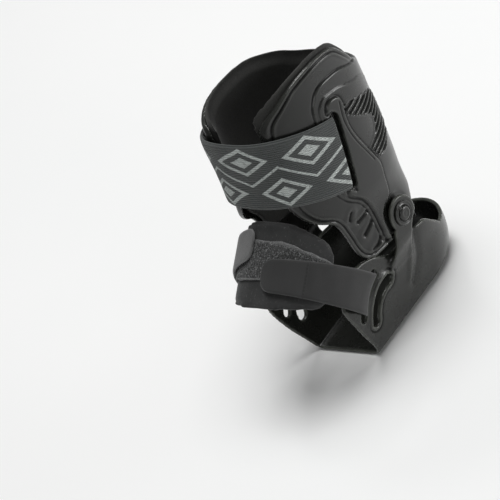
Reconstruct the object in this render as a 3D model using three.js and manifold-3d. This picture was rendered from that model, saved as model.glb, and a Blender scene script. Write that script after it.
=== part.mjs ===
// A hinged ankle brace: a heel cup that stands on its flat sole, a leg cuff that turns on two rivets,
// a padded leg strap and two straps that cross over an instep pad.
// Millimetres. X points to the toes, +Y to the left side, Z up. The origin lies on the ground, under
// the hinge axis, in the middle plane.
import * as THREE from 'three';
import { mergeVertices } from 'three/addons/utils/BufferGeometryUtils.js';
import Module from 'manifold-3d';

const wasm = await Module();
wasm.setup();

// Driving dimensions

// Hinge
const hingeHeight = 67;        // ground to rivet
const hingeSpan = 84;          // outside to outside of the two arms
const cuffTilt = 7;            // degrees the cuff leans back at rest
const armWall = 2.7;
const armRadius = 11.8;        // round head of an arm
const armHeadFrom = -20;        // degrees round the hinge, where the head's arc starts and ends
const armHeadTo = 215;
const lugRadius = 10.8;        // flat round the cuff's bore
const pinRadius = 2.4;
const rivetHeadRadius = 4.9;
const rivetHeadHeight = 2.6;
const rivetTailHeight = 1.4;
const tailClearance = 1;       // round the rivet's tail, in the cuff
const ringRadius = 8.1;
const ringHeight = 1.5;

// Clearances
const seatGap = 0.35;          // between pieces that touch
const layerGap = 0.5;          // between layers that slide past each other
const holeGap = 0.3;           // round a pin or in a bore

// Heel cup
const cupBehind = 54;          // hinge axis to the back of the heel
const cupAhead = 73;           // hinge axis to the front edge of a side wall
const cupWall = 2.6;
const soleWall = 2.6;
const heelTop = 27;            // back edge of the cup above the ground
const strapSlotRadius = 33.3;  // both slots are arcs round one centre
const strapSlotWidth = 5;
const spareSlotRadius = 21.5;
const spareSlotWidth = 7;
const slotCentre = { ahead: 0.466, up: 0.254 };  // shares of cupAhead and hingeHeight
const strapSlotArc = { from: 30, to: 83 };       // degrees above the way ahead
const spareSlotArc = { from: 20, to: 98 };
const cupTop = 1.08;           // highest section of the wall before it is cut, a share of hingeHeight
const cupEnd = 1.3;            // how far ahead it runs before it is cut, a share of cupAhead

// Cuff
const cuffHeight = 129;        // rivet to the top of a wing
const cuffBehind = 37;         // hinge axis to the back of the shell
const cuffAhead = 71;          // hinge axis to the front of the shell
const cuffWidth = 90;          // outside to outside at the top
const cuffWall = 2.6;
const cuffRoundness = 2.3;     // 2 is an ellipse, more is squarer
const wingFoot = 0.8;          // share of cuffHeight above which the right wing is lower
const rightWingDrop = 0.147;   // how much lower its top is, a share of cuffHeight
const cuffBottom = -0.22;      // lowest and highest section before it is cut, shares of cuffHeight
const cuffTop = 1.04;
const panelRise = 1.1;         // raised side panel over the shell
const ribRise = 1.6;
const ribWidth = 2.1;
const ribCount = 12;
const ribSlope = 10;           // degrees that they fall to the front
const linerThickness = 4;
const linerLip = 2.6;          // liner past the shell's edge
const linerFront = 61;         // hinge axis to the liner's front edge

// Leg strap
const legStrapWidth = 50;
const legStrapThickness = 2.4;
const legSlotHeight = 67;      // rivet to the middle of the slot
const legSlotAhead = 25.5;     // hinge axis to the middle of the slot
const legSlotWidth = 6.4;
const legSlotLean = 6.8;       // degrees
const legSlotSpare = 1.4;      // slot past the strap's edge
const legStrapDip = 0.013;     // share of the strap that slopes into a slot
const legStrapClimb = 11.5;    // how much higher the strap is at the front
const legStrapWaist = 0.05;    // how much narrower it is there

// Instep
const instepAhead = 51;        // hinge axis to the middle of the instep arch
const instepBase = 45;         // its height above the ground
const instepTilt = 36;         // degrees between the arch and the upright
const padRise = 62;            // arch base to the top of the pad
const padHalfWidth = 38;
const padThickness = 5.5;
const padLength = 56;
const padUpper = { end: 0.41, crown: 0.62 };     // edges as shares of its length, at the arch's ends
const padLower = { end: 0.30, crown: 0.42 };     // and at its crown
const padEnd = 24;             // degrees above the arch's base
const padCorner = { share: 0.45, rise: 0.2 };    // narrowing at an end, and where it starts up the arch
const bandUpper = { end: 0.19, crown: 0.37 };
const bandLower = { end: 0.09, crown: 0.09 };
const bandEnd = 27;
const bandThickness = 1;
const archRoundness = 2.9;     // 2 is an ellipse, more is squarer
const instepStrapWidth = 27;
const instepStrapThickness = 2.1;
const leftTabAngle = 88.5;       // degrees round the arch from the left side to the tab's end
const leftTabShift = 1.5;      // how far down the foot a tab's end lies
const rightTabAngle = 84;
const rightTabShift = -17.5;
const strapFlare = 24;         // height over which a strap spreads from the wall to the pad
const strapTaper = 0.22;       // how much narrower it is at the tab
const tabStart = 0.9;          // share of the strap where its tab starts to round
const tabRoundness = 3.2;
const tabNarrowest = 0.4;
const slotLead = { inside: -2, outside: 1.8 };   // how far up the slot a strap's end and its bend lie
const pastWall = 0.2;          // strap ends past the inner face of a wall

// Sizes that follow

const hingeHalf = hingeSpan / 2;
const armInside = hingeHalf - armWall;
const lugOutside = armInside - layerGap;
const lugInside = lugOutside - cuffWall;
const wallOutside = lugInside - layerGap;
const armStep = hingeHalf - wallOutside;
const cuffDepth = cuffBehind + cuffAhead;
const bandInside = padRise + seatGap;
const strapInside = bandInside + bandThickness + seatGap;
const strapHalfInside = padHalfWidth + bandThickness + 2 * seatGap;
const reach = 2 * (hingeHeight + cuffHeight);  // longer than the whole brace, for cutting prisms

const radians = THREE.MathUtils.degToRad;

// Horizontal sections of the heel cup, from the sole up. Heights are shares of the hinge height,
// lengths of the distance behind the hinge, half widths of the wall's widest place.
const cupSections = [
  { height: 0.00, back: 0.67, middle: -0.11, heelHalf: 0.59, frontHalf: 0.62 },
  { height: 0.03, back: 0.80, middle: -0.13, heelHalf: 0.73, frontHalf: 0.73 },
  { height: 0.10, back: 0.91, middle: -0.17, heelHalf: 0.82, frontHalf: 0.80 },
  { height: 0.22, back: 0.98, middle: -0.20, heelHalf: 0.88, frontHalf: 0.86 },
  { height: 0.42, back: 1.00, middle: -0.22, heelHalf: 0.93, frontHalf: 0.93 },
  { height: 0.63, back: 0.97, middle: -0.15, heelHalf: 0.99, frontHalf: 0.96 },
  { height: 0.84, back: 0.93, middle: -0.07, heelHalf: 0.98, frontHalf: 0.90 },
  { height: 1.10, back: 0.89, middle: 0.00, heelHalf: 0.98, frontHalf: 0.88 },
];

// Sections of the cuff across the leg. Levels are shares of the cuff's height above the rivet, lengths
// of its depth, and flare goes from 0 at the hinge to 1 at the full width.
const cuffSections = [
  { level: -0.22, back: 0.335, middle: 0.09, front: 0.83, flare: 0.0 },
  { level: 0.00, back: 0.340, middle: 0.09, front: 0.83, flare: 0.0 },
  { level: 0.12, back: 0.342, middle: 0.10, front: 0.80, flare: -0.05 },
  { level: 0.26, back: 0.343, middle: 0.12, front: 0.71, flare: 0.45 },
  { level: 0.47, back: 0.343, middle: 0.13, front: 0.657, flare: 0.85 },
  { level: 0.72, back: 0.343, middle: 0.14, front: 0.652, flare: 1.00 },
  { level: 0.90, back: 0.345, middle: 0.14, front: 0.625, flare: 0.80 },
  { level: 1.05, back: 0.345, middle: 0.14, front: 0.600, flare: 0.65 },
];

// Side outline of the cuff shell: ahead is a share of its depth, up of its height.
const cuffOutline = [
  { ahead: -0.42, up: 0.73 },
  { ahead: -0.28, up: 0.76 },
  { ahead: -0.235, up: 0.775 },
  { ahead: -0.19, up: 0.80 },
  { ahead: -0.10, up: 0.90 },
  { ahead: 0.00, up: 0.98 },
  { ahead: 0.17, up: 1.00 },
  { ahead: 0.35, up: 0.975 },
  { ahead: 0.48, up: 0.91 },
  { ahead: 0.57, up: 0.83 },
  { ahead: 0.595, up: 0.68 },
  { ahead: 0.608, up: 0.50 },
  { ahead: 0.60, up: 0.35 },
  { ahead: 0.55, up: 0.265 },
  { ahead: 0.455, up: 0.20 },
  { ahead: 0.415, up: 0.11 },
  { ahead: 0.395, up: 0.00 },
  { ahead: 0.35, up: -0.060 },
  { ahead: 0.27, up: -0.083 },
  { ahead: 0.12, up: -0.082 },
  { ahead: 0.00, up: -0.079 },
  { ahead: -0.10, up: -0.082 },
  { ahead: -0.15, up: -0.065 },
  { ahead: -0.18, up: -0.02 },
  { ahead: -0.23, up: 0.015 },
  { ahead: -0.31, up: 0.035 },
  { ahead: -0.42, up: 0.045 },
];

// Raised panel on each side of the cuff, in the same shares.
const panelOutline = [
  { ahead: 0.02, up: 0.78 },
  { ahead: 0.00, up: 0.84 },
  { ahead: 0.08, up: 0.87 },
  { ahead: 0.22, up: 0.885 },
  { ahead: 0.36, up: 0.83 },
  { ahead: 0.45, up: 0.72 },
  { ahead: 0.47, up: 0.55 },
  { ahead: 0.44, up: 0.36 },
  { ahead: 0.37, up: 0.24 },
  { ahead: 0.28, up: 0.16 },
  { ahead: 0.25, up: 0.03 },
  { ahead: 0.19, up: 0.05 },
  { ahead: 0.13, up: 0.12 },
  { ahead: 0.05, up: 0.17 },
  { ahead: 0.02, up: 0.27 },
  { ahead: 0.06, up: 0.50 },
];

// Upper ends of the slanting ribs at the back of the cuff, from the top rib down, in the same shares.
// Lengths are shares of the depth.
const ribRows = [
  { share: 0.00, ahead: -0.019, up: 0.698, length: 0.136 },
  { share: 0.15, ahead: -0.148, up: 0.655, length: 0.222 },
  { share: 0.32, ahead: -0.241, up: 0.597, length: 0.227 },
  { share: 0.55, ahead: -0.268, up: 0.519, length: 0.190 },
  { share: 0.76, ahead: -0.278, up: 0.450, length: 0.315 },
  { share: 1.00, ahead: -0.204, up: 0.364, length: 0.217 },
];

// Liner, whose lower edge stays above the side walls of the heel cup and reaches down behind them.
const linerBottom = [
  { ahead: 0.555, up: 0.36 },
  { ahead: 0.50, up: 0.28 },
  { ahead: 0.43, up: 0.21 },
  { ahead: 0.37, up: 0.115 },
  { ahead: 0.20, up: 0.085 },
  { ahead: 0.00, up: 0.085 },
  { ahead: -0.11, up: 0.05 },
  { ahead: -0.17, up: -0.06 },
  { ahead: -0.215, up: -0.16 },
  { ahead: -0.27, up: -0.20 },
  { ahead: -0.32, up: -0.17 },
  { ahead: -0.36, up: -0.12 },
  { ahead: -0.42, up: -0.10 },
];

// Side outline of the heel cup: ahead and up in shares of the reach ahead and the hinge height.
const cupOutline = [
  { ahead: 0.82, up: -0.03 },
  { ahead: 0.85, up: 0.12 },
  { ahead: 0.93, up: 0.36 },
  { ahead: 0.99, up: 0.60 },
  { ahead: 1.00, up: 0.74 },
  { ahead: 0.92, up: 0.86 },
  { ahead: 0.78, up: 0.93 },
  { ahead: 0.60, up: 0.94 },
  { ahead: 0.42, up: 0.86 },
  { ahead: 0.26, up: 0.75 },
  { ahead: 0.05, up: 0.73 },
  { ahead: -0.12, up: 0.71 },
  { ahead: -0.25, up: 0.66 },
  { ahead: -0.33, up: 0.57 },
  { ahead: -0.42, up: 0.46 },
];

// Arm below its round head, on the hinge axis: ahead in shares of the head's radius, up of the hinge
// height. The first rows run down its front edge, the last ones up its back edge.
const armOutline = [
  { ahead: 1.10, up: 0.93 },
  { ahead: 1.50, up: 0.81 },
  { ahead: 2.20, up: 0.66 },
  { ahead: 2.30, up: 0.56 },
  { ahead: 0.30, up: 0.54 },
  { ahead: 0.10, up: 0.68 },
  { ahead: -0.20, up: 0.82 },
  { ahead: -0.85, up: 0.91 },
];

// Arm in front view, from its foot on the wall up: out is a share of the step from wall to arm.
const armRows = [
  { up: 0.52, out: -0.063 },
  { up: 0.63, out: 0.25 },
  { up: 0.74, out: 0.85 },
  { up: 0.81, out: 1 },
  { up: 1.30, out: 1 },
];
const armBendRise = 0.5;       // how much higher the inner face bends

// Materials

const shellMaterial = new THREE.MeshStandardMaterial({ color: 0x26261f, roughness: 0.32, metalness: 0 });
const cupMaterial = new THREE.MeshStandardMaterial({ color: 0x24251f, roughness: 0.3, metalness: 0 });
const linerMaterial = new THREE.MeshStandardMaterial({ color: 0x141413, roughness: 0.8, metalness: 0 });
const padMaterial = new THREE.MeshStandardMaterial({ color: 0x2a2a2a, roughness: 0.95, metalness: 0 });
const loopMaterial = new THREE.MeshStandardMaterial({ color: 0x333333, roughness: 1, metalness: 0 });
const strapMaterial = new THREE.MeshStandardMaterial({ color: 0x2c2c2b, roughness: 0.7, metalness: 0 });
const elasticMaterial = new THREE.MeshStandardMaterial({ color: 0x3a3b3a, roughness: 0.85, metalness: 0 });
const rivetMaterial = new THREE.MeshStandardMaterial({ color: 0x2a2a28, roughness: 0.25, metalness: 0.1 });

// Building blocks

// The value of one column of a table at a place along its first column, on a smooth curve.
function column(table, along, place, name) {
  let row = 0;
  while (row < table.length - 2 && place > table[row + 1][along]) row += 1;
  const at = (index) => table[Math.min(Math.max(index, 0), table.length - 1)];
  const start = at(row);
  const end = at(row + 1);
  const span = end[along] - start[along];
  const t = Math.min(Math.max((place - start[along]) / span, 0), 1);
  const slope = (before, after) => ((after[name] - before[name]) / (after[along] - before[along])) * span;
  const leave = slope(at(row - 1), end);
  const arrive = slope(start, at(row + 2));
  const square = t * t;
  const cube = square * t;
  return (2 * cube - 3 * square + 1) * start[name] + (cube - 2 * square + t) * leave
    + (3 * square - 2 * cube) * end[name] + (cube - square) * arrive;
}

// A closed mesh from points and triangles, its faces pointing out.
function closedMesh(points, faces) {
  const a = new THREE.Vector3();
  let volume = 0;
  for (const [i, j, k] of faces) volume += a.crossVectors(points[i], points[j]).dot(points[k]);
  const order = volume > 0 ? [0, 1, 2] : [0, 2, 1];
  const geometry = new THREE.BufferGeometry();
  const flat = points.flatMap((point) => [point.x, point.y, point.z]);
  geometry.setAttribute('position', new THREE.Float32BufferAttribute(flat, 3));
  geometry.setIndex(faces.flatMap((face) => order.map((corner) => face[corner])));
  return geometry;
}

function solid(geometry) {
  const bare = geometry.clone();
  bare.deleteAttribute('normal');
  bare.deleteAttribute('uv');
  const merged = mergeVertices(bare, 1e-4);
  return new wasm.Manifold(new wasm.Mesh({
    numProp: 3,
    vertProperties: new Float32Array(merged.attributes.position.array),
    triVerts: new Uint32Array(merged.index.array),
  }));
}

function geometryOf(body) {
  const mesh = body.getMesh();
  const geometry = new THREE.BufferGeometry();
  geometry.setAttribute('position', new THREE.BufferAttribute(new Float32Array(mesh.vertProperties), 3));
  geometry.setIndex(new THREE.BufferAttribute(new Uint32Array(mesh.triVerts), 1));
  geometry.computeVertexNormals();
  return geometry;
}

// A body through a stack of rings with equally many points.
function loft(rings) {
  const count = rings[0].length;
  const faces = [];
  for (let ring = 0; ring < rings.length - 1; ring += 1) {
    for (let i = 0; i < count; i += 1) {
      const a = ring * count + i;
      const b = ring * count + (i + 1) % count;
      faces.push([a, b, b + count], [a, b + count, a + count]);
    }
  }
  const top = (rings.length - 1) * count;
  for (let i = 1; i < count - 1; i += 1) {
    faces.push([0, i + 1, i], [top, top + i, top + i + 1]);
  }
  return closedMesh(rings.flat(), faces);
}

// A thick sheet: place(u, v, side) gives its point, with side 0 inside and 1 outside.
function sheet(uStops, vStops, place) {
  const points = [];
  for (const side of [0, 1]) {
    for (const u of uStops) {
      for (const v of vStops) points.push(place(u, v, side));
    }
  }
  const rows = uStops.length;
  const wide = vStops.length;
  const at = (i, j, side) => side * rows * wide + i * wide + j;
  const faces = [];
  const quad = (a, b, c, d) => faces.push([a, b, c], [a, c, d]);
  for (let i = 0; i < rows - 1; i += 1) {
    for (let j = 0; j < wide - 1; j += 1) {
      quad(at(i, j, 1), at(i, j + 1, 1), at(i + 1, j + 1, 1), at(i + 1, j, 1));
      quad(at(i, j, 0), at(i + 1, j, 0), at(i + 1, j + 1, 0), at(i, j + 1, 0));
    }
    quad(at(i, 0, 0), at(i, 0, 1), at(i + 1, 0, 1), at(i + 1, 0, 0));
    quad(at(i, wide - 1, 1), at(i, wide - 1, 0), at(i + 1, wide - 1, 0), at(i + 1, wide - 1, 1));
  }
  for (let j = 0; j < wide - 1; j += 1) {
    quad(at(0, j, 1), at(0, j, 0), at(0, j + 1, 0), at(0, j + 1, 1));
    quad(at(rows - 1, j, 0), at(rows - 1, j, 1), at(rows - 1, j + 1, 1), at(rows - 1, j + 1, 0));
  }
  return closedMesh(points, faces);
}

function steps(from, to, count) {
  return Array.from({ length: count + 1 }, (_, i) => from + ((to - from) * i) / count);
}

// Points of a smooth line through table rows, scaled by the lengths that their shares belong to.
function outline(table, aheadSize, upSize) {
  const rows = table.map((row) => new THREE.Vector2(row.ahead * aheadSize, row.up * upSize));
  return new THREE.SplineCurve(rows).getPoints((rows.length - 1) * 2);
}

// Grows an outline of points by a distance, outwards for a positive one.
function grown(points, distance) {
  return points.map((point, index) => {
    const before = points[(index + points.length - 1) % points.length];
    const after = points[(index + 1) % points.length];
    const along = new THREE.Vector2().subVectors(after, before).normalize();
    const turn = THREE.ShapeUtils.isClockWise(points) ? 1 : -1;
    return new THREE.Vector2(point.x - turn * along.y * distance, point.y + turn * along.x * distance);
  });
}

// A side outline pushed through the whole brace, or only through the side that sign names.
function prism(shape, sign = 0) {
  const geometry = new THREE.ExtrudeGeometry(shape, { depth: reach, bevelEnabled: false, curveSegments: 8 });
  geometry.rotateX(Math.PI / 2);
  geometry.translate(0, sign === 0 ? reach / 2 : Math.max(sign, 0) * reach, 0);
  return solid(geometry);
}

// A round bar along Y, between two distances from the middle plane.
function crossBar(radius, x, z, near, far) {
  const geometry = new THREE.CylinderGeometry(radius, radius, Math.abs(far - near), 24);
  geometry.translate(x, (near + far) / 2, z);
  return solid(geometry);
}

// A curved slot in side view: an arc of some width, with round ends.
function arcSlot(x, z, radius, width, from, to) {
  const shape = new THREE.Shape();
  const half = width / 2;
  const end = (angle) => [x + radius * Math.cos(angle), z + radius * Math.sin(angle)];
  shape.absarc(x, z, radius + half, from, to, false);
  shape.absarc(...end(to), half, to, to + Math.PI, false);
  shape.absarc(x, z, radius - half, to, from, true);
  shape.absarc(...end(from), half, from + Math.PI, from + 2 * Math.PI, false);
  return shape;
}

// Sections

function rounded(value, roundness) {
  return Math.sign(value) * Math.abs(value) ** (2 / roundness);
}

// A point of the cuff's surface, pushed out by lift, in the cuff's own frame.
function cuffPoint(angle, level, lift) {
  const share = level / cuffHeight;
  const middle = column(cuffSections, 'level', share, 'middle') * cuffDepth;
  const back = column(cuffSections, 'level', share, 'back') * cuffDepth + middle + lift;
  const front = column(cuffSections, 'level', share, 'front') * cuffDepth - middle + lift;
  const flare = column(cuffSections, 'level', share, 'flare');
  const half = lugOutside + flare * (cuffWidth / 2 - lugOutside) + lift;
  const depth = Math.cos(angle) > 0 ? front : back;
  return new THREE.Vector3(
    middle + depth * rounded(Math.cos(angle), cuffRoundness),
    half * rounded(Math.sin(angle), cuffRoundness),
    level,
  );
}

// The angle at which the cuff's section reaches a distance ahead of the hinge.
function cuffAngle(ahead, level, lift) {
  let low = 0;
  let high = Math.PI;
  for (let turn = 0; turn < 30; turn += 1) {
    const trial = (low + high) / 2;
    if (cuffPoint(trial, level, lift).x > ahead) low = trial;
    else high = trial;
  }
  return (low + high) / 2;
}

function cuffLoft(lift, overrun) {
  const levels = steps(cuffBottom * cuffHeight - overrun, cuffTop * cuffHeight + overrun, 7);
  const angles = steps(0, 2 * Math.PI, 36).slice(0, -1);
  return solid(loft(levels.map((level) => angles.map((angle) => cuffPoint(angle, level, lift)))));
}

// A ring of the heel cup at one height: round at the heel, open-ended ahead.
function cupRing(height, inset) {
  const share = height / hingeHeight;
  const back = column(cupSections, 'height', share, 'back') * cupBehind - inset;
  const middle = column(cupSections, 'height', share, 'middle') * cupBehind;
  const heelHalf = column(cupSections, 'height', share, 'heelHalf') * wallOutside - inset;
  const frontHalf = column(cupSections, 'height', share, 'frontHalf') * wallOutside - inset;
  const end = cupEnd * cupAhead;
  const ring = steps(Math.PI / 2, 1.5 * Math.PI, 20).map((angle) => new THREE.Vector3(
    middle + (middle + back) * Math.cos(angle),
    heelHalf * Math.sin(angle),
    height,
  ));
  const straight = (t) => heelHalf + (frontHalf - heelHalf) * t;
  const ahead = steps(1, 0, 3).slice(0, -1);
  const nearSide = ahead.map((t) => new THREE.Vector3(middle + (end - middle) * t, straight(t), height));
  const farSide = ahead.map((t) => new THREE.Vector3(middle + (end - middle) * t, -straight(t), height));
  return [...nearSide, ...ring, ...farSide.reverse()];
}

// Pieces

function cupCentre() {
  return { x: slotCentre.ahead * cupAhead, z: slotCentre.up * hingeHeight };
}

// One of the two slots of the heel cup, cut through both walls.
function cupSlot(radius, width, arc) {
  const centre = cupCentre();
  return prism(arcSlot(centre.x, centre.z, radius, width, radians(arc.from), radians(arc.to)));
}

// An arm: a bent strip in front view, cut to its outline in side view.
function arm(sign) {
  const top = armRows.at(-1).up;
  const outer = armRows.map((row) => (
    new THREE.Vector2(wallOutside + row.out * armStep, row.up * hingeHeight)
  ));
  const inner = outer.map((point, index) => new THREE.Vector2(
    point.x - armWall,
    point.y + armBendRise * (top - armRows[index].up),
  ));
  const strip = new THREE.Shape([...outer, ...inner.reverse()]);
  const bent = new THREE.ExtrudeGeometry(strip, { depth: reach, bevelEnabled: false });
  bent.rotateX(Math.PI / 2);
  bent.rotateZ(Math.PI / 2);
  bent.translate(-reach / 2, 0, 0);
  if (sign < 0) bent.rotateZ(Math.PI);
  const side = new THREE.Shape();
  side.absarc(0, hingeHeight, armRadius, radians(armHeadFrom), radians(armHeadTo), false);
  [...armOutline].reverse().forEach((row) => side.lineTo(row.ahead * armRadius, row.up * hingeHeight));
  const body = solid(bent).intersect(prism(side, sign));
  return body.subtract(crossBar(pinRadius + holeGap, 0, hingeHeight, 0, sign * reach));
}

function footShell() {
  const top = cupTop * hingeHeight;
  const heights = cupSections.map((row) => row.height * hingeHeight);
  const levels = [...heights.slice(0, -1), top];
  const outside = solid(loft(levels.map((height) => cupRing(height, 0))));
  const insideLevels = [soleWall, ...levels.filter((height) => height > soleWall + 1), top + 1];
  const inside = solid(loft(insideLevels.map((height) => cupRing(height, cupWall).map((point) => {
    const further = point.x > cupAhead ? cupWall : 0;
    return new THREE.Vector3(point.x + further, point.y, point.z);
  }))));
  const edge = outline(cupOutline, cupAhead, hingeHeight);
  const back = [
    new THREE.Vector2(-0.60 * cupBehind, heelTop * 1.06),
    new THREE.Vector2(-0.75 * cupBehind, heelTop),
    new THREE.Vector2(-1.2 * cupBehind, heelTop),
    new THREE.Vector2(-1.2 * cupBehind, -soleWall),
    new THREE.Vector2(0.81 * cupAhead, -soleWall),
  ];
  let body = outside.subtract(inside).intersect(prism(new THREE.Shape([...edge, ...back])));
  body = body.add(arm(1)).add(arm(-1));
  body = body.subtract(cupSlot(strapSlotRadius, strapSlotWidth, strapSlotArc));
  return body.subtract(cupSlot(spareSlotRadius, spareSlotWidth, spareSlotArc));
}

// Rows of a table for one side of the cuff: the right wing is lower than the left one.
function sideRows(table, sign) {
  return table.map(({ ahead, up }) => {
    const above = Math.max(0, up - wingFoot) / (1 - wingFoot);
    return { ahead, up: sign < 0 ? up - rightWingDrop * above : up };
  });
}

// Both halves of an outline, as one body for cutting. shape(rows) gives the outline of one side. The
// halves are alike at the back of the cuff, where they lap over each other.
function cuffPrism(table, shape) {
  const left = prism(shape(sideRows(table, 1)), 1).translate([0, -seatGap, 0]);
  return left.add(prism(shape(sideRows(table, -1)), -1));
}

function cuffShape(rows) {
  return new THREE.Shape(outline(rows, cuffDepth, cuffHeight));
}

// Slanting ribs behind the slot, as bars through the whole cuff.
function ribs() {
  let fan = null;
  for (let i = 0; i < ribCount; i += 1) {
    const share = i / (ribCount - 1);
    const value = (name) => column(ribRows, 'share', share, name);
    const start = new THREE.Vector2(value('ahead') * cuffDepth, value('up') * cuffHeight);
    const down = new THREE.Vector2(1, 0).rotateAround(new THREE.Vector2(), -radians(ribSlope));
    const end = start.clone().addScaledVector(down, value('length') * cuffDepth);
    const across = new THREE.Vector2(-down.y, down.x).multiplyScalar(ribWidth / 2);
    const bar = prism(new THREE.Shape([
      start.clone().sub(across), end.clone().sub(across), end.clone().add(across), start.clone().add(across),
    ]));
    fan = fan ? fan.add(bar) : bar;
  }
  return fan;
}

function legSlot(sign) {
  const half = legStrapWidth / 2 + legSlotSpare;
  const shape = new THREE.Shape();
  const round = legSlotWidth / 2;
  shape.absarc(0, half - round, round, 0, Math.PI, false);
  shape.absarc(0, round - half, round, Math.PI, 2 * Math.PI, false);
  const middle = new THREE.Vector2(legSlotAhead, legSlotHeight);
  const points = shape.getPoints(5).map((point) => (
    point.rotateAround(new THREE.Vector2(), radians(legSlotLean)).add(middle)
  ));
  return prism(new THREE.Shape(points), sign);
}

function cuffShell() {
  const inside = cuffLoft(-cuffWall, 1);
  let body = cuffLoft(0, 0).intersect(cuffPrism(cuffOutline, cuffShape));
  body = body.add(cuffLoft(panelRise, 0).intersect(cuffPrism(panelOutline, cuffShape)));
  body = body.add(cuffLoft(ribRise, 0).intersect(ribs()));
  body = body.subtract(inside);
  for (const sign of [1, -1]) {
    body = body.add(crossBar(lugRadius, 0, 0, sign * lugInside, sign * lugOutside));
    body = body.subtract(crossBar(pinRadius + holeGap, 0, 0, 0, sign * reach));
    body = body.subtract(crossBar(rivetHeadRadius + tailClearance, 0, 0, 0, sign * lugInside));
    body = body.subtract(legSlot(sign));
  }
  return body;
}

// The liner follows the shell's upper and front edges, and has a lower edge of its own.
function linerShape(rows) {
  const lip = grown(outline(rows, cuffDepth, cuffHeight), linerLip).slice(1, -1);
  lip.forEach((point) => point.setX(Math.min(point.x, linerFront)));
  return new THREE.Shape([...lip, ...outline(linerBottom, cuffDepth, cuffHeight)]);
}

function cuffLiner() {
  const body = cuffLoft(-cuffWall - seatGap, 0).subtract(cuffLoft(-cuffWall - seatGap - linerThickness, 1));
  return body.intersect(cuffPrism(cuffOutline.slice(0, 12), linerShape));
}

// The leg strap runs outside the cuff from one slot round the front to the other, and dips into each.
function legStrap() {
  const lean = Math.tan(radians(legSlotLean));
  const dips = [
    { share: 0, lift: -cuffWall + pastWall },
    { share: legStrapDip, lift: panelRise + seatGap },
  ];
  const flat = steps(0.05, 0.95, 22).map((share) => ({ share, lift: panelRise + seatGap }));
  const farDips = dips.map((dip) => ({ share: 1 - dip.share, lift: dip.lift })).reverse();
  const stops = [...dips, ...flat, ...farDips];
  const place = (index, v, side) => {
    const stop = stops[index];
    const front = Math.sin(Math.PI * stop.share);
    const climb = legStrapClimb * front;
    const up = (v - 0.5) * legStrapWidth * (1 - legStrapWaist * front);
    const level = legSlotHeight + up;
    const ahead = legSlotAhead - up * lean;
    const start = cuffAngle(ahead, level, stop.lift);
    return cuffPoint(start * (1 - 2 * stop.share), level + climb, stop.lift + side * legStrapThickness);
  };
  return sheet(stops.map((_, index) => index), steps(0, 1, 4), place);
}

// Instep pieces, in the frame of the instep arch: x down along the foot, z out of the instep.

function archPoint(angle, along, half, rise) {
  return new THREE.Vector3(
    along,
    half * rounded(Math.cos(angle), archRoundness),
    rise * rounded(Math.sin(angle), archRoundness),
  );
}

// How far an edge of the pad or the band lies from the arch's middle, at an angle round the arch.
function archEdge(row, angle) {
  return padLength * (row.end + (row.crown - row.end) * Math.sin(angle) ** 2);
}

function instepPad() {
  const angles = steps(radians(padEnd), radians(180 - padEnd), 20);
  return sheet(angles, steps(0, 1, 6), (angle, v, side) => {
    const rise = Math.sin(angle) - Math.sin(radians(padEnd));
    const wide = 1 - padCorner.share * Math.max(0, 1 - rise / padCorner.rise) ** 2;
    const upper = -archEdge(padUpper, angle) * wide;
    const lower = archEdge(padLower, angle) * wide;
    const depth = (1 - side) * padThickness;
    return archPoint(angle, upper + (lower - upper) * v, padHalfWidth - depth, padRise - depth);
  });
}

function loopBand() {
  const angles = steps(radians(bandEnd), radians(180 - bandEnd), 20);
  return sheet(angles, steps(0, 1, 3), (angle, v, side) => {
    const upper = -archEdge(bandUpper, angle);
    const lower = archEdge(bandLower, angle);
    const out = seatGap + side * bandThickness;
    return archPoint(angle, upper + (lower - upper) * v, padHalfWidth + out, padRise + out);
  });
}

// A strap from the slot on one side, over the pad, to a rounded tab past the top of the arch.
function instepStrap(sign, tabAngle, shift) {
  const centre = cupCentre();
  const away = new THREE.Vector2(centre.x - instepAhead, centre.z - instepBase);
  away.rotateAround(new THREE.Vector2(), radians(instepTilt));
  const tabRounding = [0.3, 0.55, 0.75, 0.9, 1];
  const slotUp = (along) => away.y + Math.sqrt(strapSlotRadius ** 2 - (along - away.x) ** 2);
  const stops = [
    { angle: 0, out: -cupWall - pastWall, lead: slotLead.inside },
    { angle: 0, out: 0, lead: slotLead.outside },
    ...steps(0.12, tabStart * tabAngle, 12).map((angle) => ({ angle, out: 0, lead: 0 })),
    ...tabRounding.map((round) => (
      { angle: (tabStart + (1 - tabStart) * round) * tabAngle, out: 0, lead: 0, round }
    )),
  ];
  const place = (index, v, side) => {
    const stop = stops[index];
    const share = stop.angle / tabAngle;
    const corner = (1 - (stop.round || 0) ** tabRoundness) ** (1 / tabRoundness);
    const half = (instepStrapWidth / 2) * (1 - strapTaper * share) * Math.max(corner, tabNarrowest);
    const along = shift * share + half * (2 * v - 1);
    const out = stop.out + side * instepStrapThickness;
    const point = archPoint(stop.angle, along, strapHalfInside + out, strapInside + out);
    const low = Math.max(0, 1 - point.z / strapFlare);
    point.y = sign * (point.y - (strapHalfInside - wallOutside - seatGap) * low ** 1.5);
    point.z += slotUp(along) * low + stop.lead;
    return point;
  };
  return sheet(stops.map((_, index) => index), steps(0, 1, 4), place);
}

// Hinge pieces, turned round the hinge axis.

function turned(profile, sign) {
  const points = profile.map(([radius, out]) => new THREE.Vector2(radius, out));
  const geometry = new THREE.LatheGeometry(points, 16);
  if (sign < 0) geometry.rotateX(Math.PI);
  return solid(geometry);
}

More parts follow.
